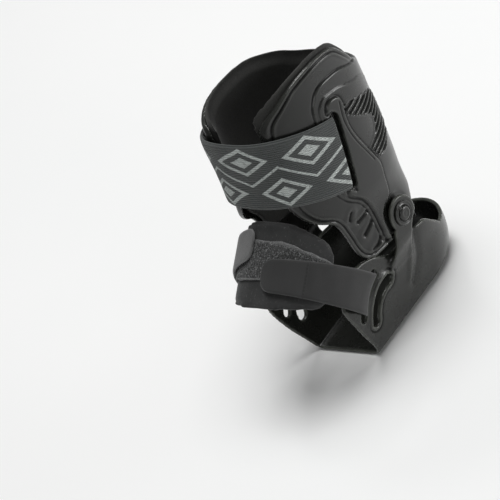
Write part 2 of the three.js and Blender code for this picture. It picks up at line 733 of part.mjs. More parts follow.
function rivet(sign) {
  const head = hingeHalf + seatGap;
  const tail = lugInside - seatGap;
  return turned([
    [0, tail - rivetTailHeight],
    [rivetHeadRadius, tail - rivetTailHeight],
    [rivetHeadRadius, tail],
    [pinRadius, tail],
    [pinRadius, head],
    [rivetHeadRadius, head],
    [rivetHeadRadius, head + 0.35 * rivetHeadHeight],
    [rivetHeadRadius * 0.75, head + 0.8 * rivetHeadHeight],
    [rivetHeadRadius * 0.35, head + rivetHeadHeight],
    [0, head + rivetHeadHeight],
  ], sign);
}

function hingeRing(sign) {
  const base = hingeHalf + seatGap;
  const bore = rivetHeadRadius + holeGap;
  return turned([
    [bore, base],
    [ringRadius, base],
    [ringRadius, base + 0.6 * ringHeight],
    [ringRadius - 0.6, base + ringHeight],
    [bore + 0.5, base + ringHeight],
    [bore, base + 0.6 * ringHeight],
    [bore, base],
  ], sign);
}

// Assembly

function piece(name, geometry, material) {
  const mesh = new THREE.Mesh(geometry, material);
  mesh.name = name;
  return mesh;
}

const hinge = new THREE.Group();
hinge.position.z = hingeHeight;
hinge.add(
  piece('left_hinge_ring', geometryOf(hingeRing(1)), rivetMaterial),
  piece('right_hinge_ring', geometryOf(hingeRing(-1)), rivetMaterial),
  piece('left_rivet', geometryOf(rivet(1)), rivetMaterial),
  piece('right_rivet', geometryOf(rivet(-1)), rivetMaterial),
);

const instep = new THREE.Group();
instep.position.set(instepAhead, 0, instepBase);
instep.rotation.y = radians(instepTilt);
instep.add(
  piece('instep_pad', instepPad(), padMaterial),
  piece('loop_band', loopBand(), loopMaterial),
  piece('left_instep_strap', instepStrap(1, radians(leftTabAngle), leftTabShift), strapMaterial),
  piece('right_instep_strap', instepStrap(-1, radians(rightTabAngle), rightTabShift), strapMaterial),
);

const cuff = new THREE.Group();
cuff.position.z = hingeHeight;
cuff.rotation.y = -radians(cuffTilt);
cuff.add(
  piece('cuff_shell', geometryOf(cuffShell()), shellMaterial),
  piece('cuff_liner', geometryOf(cuffLiner()), linerMaterial),
  piece('leg_strap', legStrap(), elasticMaterial),
);

const group = new THREE.Group();
group.add(piece('foot_shell', geometryOf(footShell()), cupMaterial), hinge, instep, cuff);

export default group;
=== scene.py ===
import math

import bmesh
import bpy
import numpy as np
from mathutils import Matrix, Vector


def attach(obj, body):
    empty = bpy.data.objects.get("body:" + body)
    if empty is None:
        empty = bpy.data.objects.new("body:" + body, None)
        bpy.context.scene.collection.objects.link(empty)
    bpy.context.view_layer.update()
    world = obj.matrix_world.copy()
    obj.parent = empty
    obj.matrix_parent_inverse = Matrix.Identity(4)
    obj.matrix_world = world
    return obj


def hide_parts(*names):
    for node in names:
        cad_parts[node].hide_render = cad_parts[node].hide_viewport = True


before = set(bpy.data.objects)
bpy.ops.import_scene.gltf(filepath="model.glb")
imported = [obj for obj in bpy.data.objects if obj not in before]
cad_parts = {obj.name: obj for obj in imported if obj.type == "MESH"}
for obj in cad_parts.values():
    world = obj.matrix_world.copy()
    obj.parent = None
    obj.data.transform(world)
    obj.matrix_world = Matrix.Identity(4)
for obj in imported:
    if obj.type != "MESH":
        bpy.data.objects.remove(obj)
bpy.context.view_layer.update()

# Lengths below are in millimetres, as in the solids. Meshes become metres when they are placed.
MM = 0.001
HINGE_HEIGHT = 67.0
HINGE_HALF = 42.0
ARM_WALL = 2.7
ARM_RADIUS = 11.8
RIVET_RADIUS = 4.9
RING_RADIUS = 8.1
SEAT_GAP = 0.35
LAYER_GAP = 0.5
CUP_BEHIND = 54.0
CUP_AHEAD = 73.0
CUP_WALL = 2.6
SOLE_WALL = 2.6
HEEL_TOP = 27.0
STRAP_SLOT_RADIUS = 33.3
STRAP_SLOT_WIDTH = 5.0
STRAP_SLOT_ARC = (math.radians(30), math.radians(83))
SPARE_SLOT_RADIUS = 21.5
SPARE_SLOT_WIDTH = 7.0
SPARE_SLOT_ARC = (math.radians(20), math.radians(98))
CUFF_HEIGHT = 129.0
CUFF_BOTTOM = -0.22 * CUFF_HEIGHT
CUFF_TOP = 1.04 * CUFF_HEIGHT
CUFF_DEPTH = 108.0
CUFF_WIDTH = 90.0
CUFF_WALL = 2.6
CUFF_ROUNDNESS = 2.3
PANEL_RISE = 1.1
LINER_THICKNESS = 4.0
LINER_LIP = 2.6
LINER_FRONT = 61.0
LINER_FRONT_FADE = 11.0
LINER_LIP_THINNING = 2.2
LINER_LIP_DEPTH = 7.0
LEG_STRAP_WIDTH = 50.0
LEG_STRAP_THICKNESS = 2.4
LEG_STRAP_PRINTED = 230.0
LEG_SLOT_HEIGHT = 67.0
LEG_SLOT_AHEAD = 25.5
LEG_SLOT_WIDTH = 6.4
LEG_SLOT_SPARE = 1.4
LEG_SLOT_LEAN = math.radians(6.8)
LEG_STRAP_CLIMB = 11.5
LEG_STRAP_WAIST = 0.05
INSTEP_AHEAD = 51.0
INSTEP_BASE = 45.0
INSTEP_TILT = math.radians(36)
PAD_RISE = 62.0
PAD_HALF = 38.0
PAD_THICKNESS = 5.5
PAD_LENGTH = 56.0
PAD_END = 24.0
PAD_CORNER_SHARE = 0.45
PAD_CORNER_RISE = 0.2
PAD_SWELLING = 1.6
BAND_THICKNESS = 1.0
BAND_END = 26.5
ARCH_ROUNDNESS = 2.9
INSTEP_STRAP_WIDTH = 27.0
INSTEP_STRAP_THICKNESS = 2.1
INSTEP_STRAP_SPREAD = 110.0
INSTEP_STRAP_SEAM = 51.0
INSTEP_STRAP_TAPER = 0.22
TAB_START = 0.89
TAB_ROUNDNESS = 3.4
LEFT_TAB = (88.5, 1.5)
RIGHT_TAB = (84.0, -17.5)
STRAP_FLARE = 24.0
ARM_INSIDE = HINGE_HALF - ARM_WALL
LUG_OUTSIDE = ARM_INSIDE - LAYER_GAP
LUG_INSIDE = LUG_OUTSIDE - CUFF_WALL
WALL_OUTSIDE = LUG_INSIDE - LAYER_GAP
STRAP_INSIDE = PAD_RISE + SEAT_GAP + BAND_THICKNESS + SEAT_GAP
STRAP_HALF_INSIDE = PAD_HALF + BAND_THICKNESS + 2 * SEAT_GAP
SIDE_REACH = 60.0
CAMERA_DISTANCE = 4000.0
PICTURE_WIDTH = 312.5
CUP_CENTRE = (0.466 * CUP_AHEAD, 0.254 * HINGE_HEIGHT)

CUFF_FRAME = Matrix.Translation((0, 0, HINGE_HEIGHT)) @ Matrix.Rotation(-math.radians(7), 4, "Y")
INSTEP_FRAME = (Matrix.Translation((INSTEP_AHEAD, 0, INSTEP_BASE))
                @ Matrix.Rotation(INSTEP_TILT, 4, "Y"))
FOOT_FRAME = Matrix.Identity(4)

# Heel cup: height, back, middle, half width at the heel, half width at the front, as shares.
CUP_SECTIONS = np.array([
    (0.00, 0.67, -0.11, 0.59, 0.62),
    (0.03, 0.80, -0.13, 0.73, 0.73),
    (0.10, 0.91, -0.17, 0.82, 0.80),
    (0.22, 0.98, -0.20, 0.88, 0.86),
    (0.42, 1.00, -0.22, 0.93, 0.93),
    (0.63, 0.97, -0.15, 0.99, 0.96),
    (0.84, 0.93, -0.07, 0.98, 0.90),
    (1.10, 0.89, 0.00, 0.98, 0.88),
])
# Cuff: level, back, middle, front, flare, as shares.
CUFF_SECTIONS = np.array([
    (-0.22, 0.335, 0.09, 0.83, 0.0),
    (0.00, 0.340, 0.09, 0.83, 0.0),
    (0.12, 0.342, 0.10, 0.80, -0.05),
    (0.26, 0.343, 0.12, 0.71, 0.45),
    (0.47, 0.343, 0.13, 0.657, 0.85),
    (0.72, 0.343, 0.14, 0.652, 1.00),
    (0.90, 0.345, 0.14, 0.625, 0.80),
    (1.05, 0.345, 0.14, 0.600, 0.65),
])
# Edges of pad and band as shares of the pad's length: at the ends, at the crown.
PAD_UPPER, PAD_LOWER = (0.41, 0.62), (0.30, 0.42)
BAND_UPPER, BAND_LOWER = (0.19, 0.37), (0.09, 0.09)
# Outlines in side view: ahead and up, in millimetres.
CUFF_OUTLINE = [(a * CUFF_DEPTH, u * CUFF_HEIGHT) for a, u in [
    (-0.42, 0.73), (-0.28, 0.76), (-0.235, 0.775), (-0.19, 0.80), (-0.10, 0.90), (0.00, 0.98),
    (0.17, 1.00), (0.35, 0.975), (0.48, 0.91), (0.57, 0.83), (0.595, 0.68), (0.608, 0.50),
    (0.60, 0.35), (0.55, 0.265), (0.455, 0.20), (0.415, 0.11), (0.395, 0.00), (0.35, -0.060),
    (0.27, -0.083), (0.12, -0.082), (0.00, -0.079), (-0.10, -0.082), (-0.15, -0.065),
    (-0.18, -0.02), (-0.23, 0.015), (-0.31, 0.035), (-0.42, 0.045)]]
WING_FOOT = 0.8 * CUFF_HEIGHT
RIGHT_WING_DROP = 0.147 * CUFF_HEIGHT
LINER_BOTTOM = [(a * CUFF_DEPTH, u * CUFF_HEIGHT) for a, u in [
    (0.555, 0.36), (0.50, 0.28), (0.43, 0.21), (0.37, 0.115), (0.20, 0.085), (0.00, 0.085),
    (-0.11, 0.05), (-0.17, -0.06), (-0.215, -0.16), (-0.27, -0.20), (-0.32, -0.17),
    (-0.36, -0.12), (-0.42, -0.10)]]
CUP_OUTLINE = [(a * CUP_AHEAD, u * HINGE_HEIGHT) for a, u in [
    (0.82, -0.03), (0.85, 0.12), (0.93, 0.36), (0.99, 0.60), (1.00, 0.74), (0.92, 0.86),
    (0.78, 0.93), (0.60, 0.94), (0.42, 0.86), (0.26, 0.75), (0.05, 0.73), (-0.12, 0.71),
    (-0.25, 0.66), (-0.33, 0.57), (-0.42, 0.46)]]
ARM_OUTLINE = [(a * ARM_RADIUS, u * HINGE_HEIGHT) for a, u in [
    (1.10, 0.93), (1.50, 0.81), (2.20, 0.66), (2.30, 0.56), (0.30, 0.54), (0.10, 0.68),
    (-0.20, 0.82), (-0.85, 0.91)]]
# Lines on the side of the heel cup, in millimetres: ahead, up.
ARM_FOOT = [(-7, 50), (-1, 46), (2, 40), (6, 34), (14, 34), (23, 38), (26, 45), (19, 52)]
ARM_VALLEY = [(-5, 45), (-3.1, 39.4), (-0.1, 30.2), (6.1, 23.1), (12, 18)]
ARM_RIDGE = [(1.5, 45), (5.6, 36.3), (9.5, 29), (14, 23)]

# Relief on the side of the cuff, in millimetres from the rivet: ahead, up.
STEP_EDGE = [(-60, 92), (-15.7, 104.3), (1.4, 111.2), (12.1, 113.0), (20.6, 113.1), (26.7, 111.4),
             (31.3, 106.9), (34.2, 102.1), (36, 92), (39, 75), (42, 60), (41.1, 48.4), (40.1, 43.0),
             (35.5, 35.7), (26.5, 27.5), (22.1, 17.8), (20.9, 6.0), (21.1, -4.0), (16.7, -10.4),
             (15, -40), (-60, -40)]
PLATEAU = [(-4.9, 97.9), (10.1, 103.7), (19.0, 104.9), (23.9, 105.4), (28.6, 102.6), (31.2, 98.3),
           (34, 80), (38, 60), (39, 47), (33.5, 36.5), (25.0, 29), (20.1, 17.8), (18.9, 6.0),
           (18.9, -4.0), (15.2, -10.0), (13.6, -4.1), (13.5, 5.0), (9, 11.5), (0.5, 16.5),
           (0.2, 29.7), (-0.4, 39.5), (2.6, 47.3), (7.2, 57.8), (11.3, 68.0), (13.4, 77.3),
           (13.0, 85.4), (11.5, 91.9), (-16, 82), (-24, 88), (-14, 95)]
STRUT = [(26.5, 95.6), (23.5, 100.5), (18, 101.2), (13.5, 98.7), (12.2, 92.5), (14.3, 85.4),
         (14.4, 77.3), (12.3, 68.0), (8.4, 57.8), (3.8, 47.3), (1.0, 39.5), (1.4, 29.7),
         (1.8, 17.5), (9.5, 13.1), (14.7, 6.4), (15.2, -4.1), (15.4, -9.5), (18.7, -4.0),
         (18.2, 6.0), (19.4, 17.8), (24, 28.5), (33, 38.0), (32, 42), (27.0, 38.2), (24.2, 56.4),
         (22.4, 67.5), (21.0, 80.8), (20.2, 91.5), (23, 95)]
STRUT_GROOVE = [(14.6, 97.0), (17.2, 86.0), (16.7, 76.3), (14.2, 66.4), (10.0, 56.2), (5.6, 46.0)]
FAN = [(11.0, 92.0), (-16, 83.4), (-26, 76), (-29, 66), (-30, 55), (-20, 44.5), (-10, 41),
       (-1, 42.0), (2.0, 47.3), (6.4, 57.8), (10.5, 68.0), (12.6, 77.3), (12.4, 85.4)]
LENS = [(12.8, 84), (8.2, 80.5), (1.8, 76.0), (-8.5, 69.5), (-10.0, 65), (-7.5, 60), (-2.9, 56.5),
        (5.0, 53.6), (7.2, 57.8), (11.3, 68.0), (13.4, 77.3)]
CREASES = [
    [(33.5, 16.9), (28.5, 17.6), (23.4, 18.6)],
    [(30.9, -6.0), (26.5, -5.2), (21.9, -2.5)],
    [(38.7, 22.3), (36.0, 26.0)],
    [(32.6, 6.5), (27.5, 8.5), (23.2, 10.5)],
]
RIB_PITCH = 4.0
RIB_FALL = math.tan(math.radians(10))


# Tables and lines

def column(table, place, index):
    """A column of a table at some places along its first column, on a smooth curve."""
    place = np.asarray(place, float)
    keys, values = table[:, 0], table[:, index]
    row = np.clip(np.searchsorted(keys, place, side="left") - 1, 0, len(keys) - 2)
    before, after = np.maximum(row - 1, 0), np.minimum(row + 2, len(keys) - 1)
    span = keys[row + 1] - keys[row]
    t = np.clip((place - keys[row]) / span, 0, 1)
    leave = (values[row + 1] - values[before]) / (keys[row + 1] - keys[before]) * span
    arrive = (values[after] - values[row]) / (keys[after] - keys[row]) * span
    return ((2 * t**3 - 3 * t**2 + 1) * values[row] + (t**3 - 2 * t**2 + t) * leave
            + (3 * t**2 - 2 * t**3) * values[row + 1] + (t**3 - t**2) * arrive)


def spline(points, steps=8, closed=False):
    """Points of a smooth line through the given ones."""
    p = np.asarray(points, float)
    count = len(p)
    result = []
    for i in range(count if closed else count - 1):
        if closed:
            a, b, c, d = p[i - 1], p[i], p[(i + 1) % count], p[(i + 2) % count]
        else:
            a, b, c, d = p[max(i - 1, 0)], p[i], p[i + 1], p[min(i + 2, count - 1)]
        for s in range(steps):
            t = s / steps
            result.append(b + 0.5 * t * (c - a) + t * t * (a - 2.5 * b + 2 * c - 0.5 * d)
                          + 0.5 * t**3 * (3 * (b - c) + d - a))
    if not closed:
        result.append(p[-1])
    return np.array(result)


def smoothstep(low, high, value):
    t = np.clip((value - low) / (high - low), 0, 1)
    return t * t * (3 - 2 * t)


def bead(distance, at, width):
    """A soft ridge of height 1 where the distance is at."""
    return np.exp(-((distance - at) / width) ** 2)


def line_distance(points, line, closed=False):
    """How far each 2-D point is from a line of points."""
    line = np.asarray(line, float)
    ends = np.roll(line, -1, axis=0) if closed else line[1:]
    starts = line if closed else line[:-1]
    best = np.full(len(points), 1e9)
    for a, b in zip(starts, ends):
        along = b - a
        t = np.clip(((points - a) @ along) / max(along @ along, 1e-9), 0, 1)
        best = np.minimum(best, np.hypot(*(points - a - t[:, None] * along).T))
    return best


def inside_distance(points, polygon):
    """Distance to a polygon's edge, positive inside."""
    polygon = np.asarray(polygon, float)
    inside = np.zeros(len(points), bool)
    x, y = points.T
    for (ax, ay), (bx, by) in zip(polygon, np.roll(polygon, -1, axis=0)):
        crosses = (ay > y) != (by > y)
        inside ^= crosses & (x < (bx - ax) * (y - ay) / (by - ay if by != ay else 1e-9) + ax)
    return np.where(inside, 1, -1) * line_distance(points, polygon, closed=True)


# Meshes

def mesh_object(name, points, faces):
    mesh = bpy.data.meshes.new(name)
    mesh.from_pydata([tuple(p) for p in np.asarray(points, float)], [], faces)
    mesh.validate()
    mesh.update()
    obj = bpy.data.objects.new(name, mesh)
    bpy.context.scene.collection.objects.link(obj)
    return obj


def tidy_normals(obj):
    shape = bmesh.new()
    shape.from_mesh(obj.data)
    bmesh.ops.recalc_face_normals(shape, faces=shape.faces)
    shape.to_mesh(obj.data)
    shape.free()


def loft(name, rings):
    """A closed body through a stack of rings with equally many points."""
    rings = np.asarray(rings, float)
    count = rings.shape[1]
    faces = []
    for k in range(len(rings) - 1):
        for i in range(count):
            j = (i + 1) % count
            faces.append((k * count + i, k * count + j, (k + 1) * count + j, (k + 1) * count + i))
    faces.append(tuple(range(count))[::-1])
    faces.append(tuple(range((len(rings) - 1) * count, len(rings) * count)))
    obj = mesh_object(name, rings.reshape(-1, 3), faces)
    tidy_normals(obj)
    return obj


def prism(name, outline, near, far):
    """A side outline pushed along Y."""
    outline = np.asarray(outline, float)
    rings = [[(x, y, z) for x, z in outline] for y in (near, far)]
    return loft(name, rings)


def apply_modifiers(obj):
    bpy.context.view_layer.update()
    graph = bpy.context.evaluated_depsgraph_get()
    mesh = bpy.data.meshes.new_from_object(obj.evaluated_get(graph))
    obj.modifiers.clear()
    old = obj.data
    obj.data = mesh
    bpy.data.meshes.remove(old)


def combine(obj, tool, operation):
    change = obj.modifiers.new("combine", "BOOLEAN")
    change.operation = operation
    change.object = tool
    change.solver = "MANIFOLD"
    apply_modifiers(obj)
    bpy.data.objects.remove(tool)
    return obj


def soften(obj, rounds, weights=None):
    """Smooths a whole mesh, or only where the weights are high."""
    change = obj.modifiers.new("soften", "SMOOTH")
    change.factor, change.iterations = 0.5, rounds
    if weights is not None:
        group = obj.vertex_groups.new(name="soft")
        change.vertex_group = group.name
        for step in range(1, 11):
            chosen = np.nonzero(np.rint(weights * 10) == step)[0]
            group.add([int(i) for i in chosen], step / 10, "REPLACE")
    apply_modifiers(obj)


def remesh(obj, size, rounds):
    change = obj.modifiers.new("remesh", "REMESH")
    change.mode = "VOXEL"
    change.voxel_size = size
    change.adaptivity = 0
    apply_modifiers(obj)
    soften(obj, rounds)


def points_of(obj, kind="co"):
    flat = np.empty(len(obj.data.vertices) * 3)
    obj.data.vertices.foreach_get(kind, flat)
    return flat.reshape(-1, 3)


def normals_of(obj):
    return points_of(obj, "normal")


def move_points(obj, points):
    obj.data.vertices.foreach_set("co", np.asarray(points, float).reshape(-1))
    obj.data.update()


def store(obj, name, values):
    """Keeps a number at each point of a mesh for its material."""
    layer = obj.data.attributes.get(name) or obj.data.attributes.new(name, "FLOAT", "POINT")
    layer.data.foreach_set("value", np.asarray(values, np.float32))


def store_relief(obj):
    """Stores how far each point stands out of its surroundings, in millimetres. The plastics use it
    for rubbed edges with a painted highlight and for painted shade in recesses.
    """
    points = points_of(obj)
    edges = np.empty(len(obj.data.edges) * 2, int)
    obj.data.edges.foreach_get("vertices", edges)
    a, b = edges.reshape(-1, 2).T
    count = np.bincount(np.concatenate([a, b]), minlength=len(points)).clip(1)
    average = points.copy()
    for _ in range(3):
        total = np.zeros_like(points)
        for axis in range(3):
            total[:, axis] = (np.bincount(a, average[b, axis], len(points))
                              + np.bincount(b, average[a, axis], len(points)))
        average = total / count[:, None]
    standing = ((points - average) * normals_of(obj)).sum(axis=1)
    store(obj, "standing", standing)


def finish_piece(obj, place, material, body, node):
    """Places a piece in metres, gives it its material and body, and hides the solid it stands for.
    """
    obj.data.transform(Matrix.Scale(MM, 4) @ place)
    obj.data.update()
    for polygon in obj.data.polygons:
        polygon.use_smooth = True
    obj.data.materials.clear()
    obj.data.materials.append(material)
    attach(obj, body)
    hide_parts(node)
    return obj


# Sections

def rounded(value, roundness):
    return np.sign(value) * np.abs(value) ** (2 / roundness)


def cuff_size(level, lift):
    share = np.asarray(level, float) / CUFF_HEIGHT
    middle = column(CUFF_SECTIONS, share, 2) * CUFF_DEPTH
    back = column(CUFF_SECTIONS, share, 1) * CUFF_DEPTH + middle + lift
    front = column(CUFF_SECTIONS, share, 3) * CUFF_DEPTH - middle + lift
    half = LUG_OUTSIDE + column(CUFF_SECTIONS, share, 4) * (CUFF_WIDTH / 2 - LUG_OUTSIDE) + lift
    return middle, back, front, half


def cuff_point(angle, level, lift):
    angle, level, lift = np.broadcast_arrays(np.asarray(angle, float), level, lift)
    middle, back, front, half = cuff_size(level, lift)
    depth = np.where(np.cos(angle) > 0, front, back)
    return np.stack([middle + depth * rounded(np.cos(angle), CUFF_ROUNDNESS),
                     half * rounded(np.sin(angle), CUFF_ROUNDNESS), level], axis=-1)


def cuff_angle(ahead, level, lift):
    """The angle at which the cuff's section reaches a distance ahead of the hinge."""
    low, high = np.zeros_like(level), np.full_like(level, math.pi)
    for _ in range(30):
        trial = (low + high) / 2
        further = cuff_point(trial, level, lift)[..., 0] > ahead
        low, high = np.where(further, trial, low), np.where(further, high, trial)
    return (low + high) / 2


def side_rows(points, sign):
    """Points in side view for one side of the cuff: the right wing is lower than the left one."""
    points = np.array(points, float)
    if sign < 0:
        above = np.maximum(0, points[:, 1] - WING_FOOT) / (CUFF_HEIGHT - WING_FOOT)
        points[:, 1] -= RIGHT_WING_DROP * above
    return points


def cuff_prism(shape):
    """A body for cutting the cuff, whose outline on each side is shape(sign)."""
    left = prism("left", shape(1), -SEAT_GAP, SIDE_REACH)
    return combine(left, prism("right", shape(-1), 0, -SIDE_REACH), "UNION")


def cuff_loft(name, lift, overrun):
    levels = np.linspace(CUFF_BOTTOM - overrun, CUFF_TOP + overrun, 60)
    angles = np.linspace(0, 2 * math.pi, 160, endpoint=False)
    return loft(name, cuff_point(angles[None, :], levels[:, None], lift))


def cuff_lift(points):
    """How far points stand outside the cuff's surface, and the way out."""
    x, y, level = points.T
    middle, back, front, half = cuff_size(level, 0.0)
    depth = np.where(x > middle, front, back)
    u, v = np.abs(x - middle) / depth, np.abs(y) / half
    power = CUFF_ROUNDNESS
    share = np.maximum((u**power + v**power) ** (1 / power), 1e-6)
    lift = (share - 1) / share * np.hypot(x - middle, y)
    out = np.stack([np.sign(x - middle) * u ** (power - 1) / depth,
                    np.sign(y) * v ** (power - 1) / half, np.zeros_like(x)], axis=-1)
    return lift, out / np.maximum(np.linalg.norm(out, axis=1), 1e-9)[:, None]


def cup_ring(height, inset, end):
    share = height / HINGE_HEIGHT
    back = column(CUP_SECTIONS, share, 1) * CUP_BEHIND - inset
    middle = column(CUP_SECTIONS, share, 2) * CUP_BEHIND
    heel = column(CUP_SECTIONS, share, 3) * WALL_OUTSIDE - inset
    front = column(CUP_SECTIONS, share, 4) * WALL_OUTSIDE - inset
    angles = np.linspace(math.pi / 2, 1.5 * math.pi, 61)
    heel_arc = [(middle + (middle + back) * math.cos(a), heel * math.sin(a), height)
                for a in angles]
    near = [(middle + (end - middle) * t, heel + (front - heel) * t, height)
            for t in np.linspace(1, 0, 24)[:-1]]
    far = [(x, -y, z) for x, y, z in near[::-1]]
    return near + heel_arc + far


# Heel cup

def arc_slot(radius, width, start, stop):
    """Outline of a curved slot round the cup's slot centre, with round ends."""

    def arc(centre, size, angles):
        return [(centre[0] + size * math.cos(a), centre[1] + size * math.sin(a)) for a in angles]

    half = width / 2
    ends = [arc(*arc(CUP_CENTRE, radius, [at]), half, begin + np.linspace(0, math.pi, 12)[1:-1])
            for at, begin in ((stop, stop), (start, start + math.pi))]
    return (arc(CUP_CENTRE, radius + half, np.linspace(start, stop, 24)) + ends[0]
            + arc(CUP_CENTRE, radius - half, np.linspace(stop, start, 24)) + ends[1])


def arm_body(sign):
    step = HINGE_HALF - WALL_OUTSIDE
    rows = [(0.52, WALL_OUTSIDE - 0.4), (0.60, WALL_OUTSIDE + 0.1 * step),
            (0.67, WALL_OUTSIDE + 0.42 * step), (0.75, WALL_OUTSIDE + 0.9 * step),
            (0.81, HINGE_HALF), (1.30, HINGE_HALF)]
    strip = [(out, up * HINGE_HEIGHT) for up, out in rows]
    strip += [(out - ARM_WALL, up * HINGE_HEIGHT + 0.5 * (1.3 - up))
              for up, out in reversed(rows)]
    rings = [[(x, sign * out, up) for out, up in strip] for x in (-40, 60)]
    body = loft("arm", rings)
    head = [(ARM_RADIUS * math.cos(a), HINGE_HEIGHT + ARM_RADIUS * math.sin(a))
            for a in np.radians(np.linspace(-20, 215, 60))]
    lower = spline(ARM_OUTLINE[:4], 6).tolist() + spline(ARM_OUTLINE[4:], 6).tolist()
    side = head + lower[::-1]
    return combine(body, prism("side", side, sign * 20, sign * SIDE_REACH), "INTERSECT")


def foot_shell():
    top = 1.08 * HINGE_HEIGHT
    levels = np.concatenate([[0.0, 0.5, 1.0, 2.0, 3.2, 5.0], np.linspace(7, top, 30)])
    end = CUP_AHEAD * 1.3
    body = loft("heel_cup", [cup_ring(h, 0, end) for h in levels])
    inner_levels = np.concatenate([[SOLE_WALL, 3.4, 5.0], np.linspace(7, top + 1, 30)])
    inside = loft("inside", [cup_ring(h, CUP_WALL, end + 5) for h in inner_levels])
    combine(body, inside, "DIFFERENCE")
    back = [(-0.60 * CUP_BEHIND, HEEL_TOP * 1.06), (-0.75 * CUP_BEHIND, HEEL_TOP)]
    edge = spline(CUP_OUTLINE + back, 8).tolist()
    edge += [(-1.2 * CUP_BEHIND, HEEL_TOP), (-1.2 * CUP_BEHIND, -2), (0.81 * CUP_AHEAD, -2)]
    combine(body, prism("edge", edge, -SIDE_REACH, SIDE_REACH), "INTERSECT")
    for sign in (1, -1):
        combine(body, arm_body(sign), "UNION")
    first = arc_slot(STRAP_SLOT_RADIUS, STRAP_SLOT_WIDTH, *STRAP_SLOT_ARC)
    spare = arc_slot(SPARE_SLOT_RADIUS, SPARE_SLOT_WIDTH, *SPARE_SLOT_ARC)
    for slot in (first, spare):
        combine(body, prism("slot", slot, -SIDE_REACH, SIDE_REACH), "DIFFERENCE")
    remesh(body, 0.8, 4)
    side = points_of(body)[:, [0, 2]]
    join = line_distance(side, ARM_FOOT)
    clear = np.minimum(line_distance(side, spare, closed=True),
                       line_distance(side, first, closed=True))
    soften(body, 45, bead(join, 0, 6.5) * smoothstep(2.5, 6.0, clear))
    points, normals = points_of(body), normals_of(body)
    side = points[:, [0, 2]]
    facing = normals[:, 1] * np.sign(points[:, 1])
    outside = smoothstep(0.2, 0.6, facing)
    from_centre = side - np.array(CUP_CENTRE)
    distance = np.hypot(*from_centre.T)
    angle = np.degrees(np.arctan2(from_centre[:, 1], from_centre[:, 0]))
    along = smoothstep(8, 26, angle) * (1 - smoothstep(92, 108, angle))
    bridge = 1.2 * bead(distance, 28.0, 1.9)
    round_slot = line_distance(side, spare, closed=True)
    lip = 0.75 * bead(round_slot, 1.4, 1.0) - 0.45 * bead(round_slot, 3.6, 1.0)
    valley = line_distance(side, spline(ARM_VALLEY, 6))
    ridge = line_distance(side, spline(ARM_RIDGE, 6))
    height = bridge * along + lip - 0.8 * bead(valley, 0, 3.2) + 0.7 * bead(ridge, 0, 2.6)
    low = 1 - smoothstep(HINGE_HEIGHT - 16, HINGE_HEIGHT - 12, side[:, 1])
    move_points(body, points + (height * outside * low)[:, None] * normals)
    soften(body, 2)
    store_relief(body)
    return body


# Cuff

def slot_outline():
    half = LEG_STRAP_WIDTH / 2 + LEG_SLOT_SPARE
    end = LEG_SLOT_WIDTH / 2
    points = [(end * math.cos(a), half - end + end * math.sin(a))
              for a in np.linspace(0, math.pi, 13)]
    points += [(end * math.cos(a), end - half + end * math.sin(a))
               for a in np.linspace(math.pi, 2 * math.pi, 13)]
    turn = np.array([[math.cos(LEG_SLOT_LEAN), -math.sin(LEG_SLOT_LEAN)],
                     [math.sin(LEG_SLOT_LEAN), math.cos(LEG_SLOT_LEAN)]])
    return np.array(points) @ turn.T + (LEG_SLOT_AHEAD, LEG_SLOT_HEIGHT)


def cuff_relief(side, sign):
    """Height of the moulded detail over the shell, at points in side view on one side."""
    rim = line_distance(side, spline(side_rows(CUFF_OUTLINE, sign), 6))
    if sign < 0:
        squeeze = 1 - RIGHT_WING_DROP / (CUFF_HEIGHT - WING_FOOT)
        above = np.maximum(side[:, 1] - WING_FOOT, 0)
        side = side + np.stack([np.zeros(len(side)), above / squeeze - above], axis=1)
    step = inside_distance(side, spline(STEP_EDGE, 4, closed=True))
    plateau = inside_distance(side, spline(PLATEAU, 4, closed=True))
    strut = inside_distance(side, spline(STRUT, 4, closed=True))
    fan = inside_distance(side, spline(FAN, 4, closed=True))
    lens = inside_distance(side, spline(LENS, 4, closed=True))
    height = 0.55 * smoothstep(-0.5, 0.5, step)
    height -= 0.35 * bead(step, -1.0, 0.8)
    height += 0.55 * smoothstep(-0.6, 0.6, plateau)
    height += 0.95 * smoothstep(-0.6, 0.7, strut) * smoothstep(-0.5, 2.5, strut + 1.5)
    height -= 0.45 * bead(strut, -1.3, 0.8)
    height -= 0.55 * bead(line_distance(side, spline(STRUT_GROOVE, 6)), 0, 0.55)
    ribbed = smoothstep(0.2, 1.1, fan) * smoothstep(-0.2, -1.1, lens)
    phase = (side[:, 1] + RIB_FALL * side[:, 0]) / RIB_PITCH
    ridge = 0.5 + 0.5 * np.cos(2 * math.pi * phase)
    height += ribbed * (1.55 * ridge**1.3 - 0.75)
    height -= 0.3 * smoothstep(0, 1.5, lens)
    ahead = smoothstep(-20, 0, side[:, 0])
    height += 0.45 * bead(rim, 0.9, 0.9) * ahead
    height -= 0.55 * bead(rim, 2.6, 0.6) * ahead
    height += 0.40 * bead(rim, 4.0, 0.7) * ahead
    for crease in CREASES:
        away = line_distance(side, spline(crease, 6))
        height += 0.45 * bead(away, 2.8, 2.0) - 0.75 * bead(away, 0, 1.1)
    return height


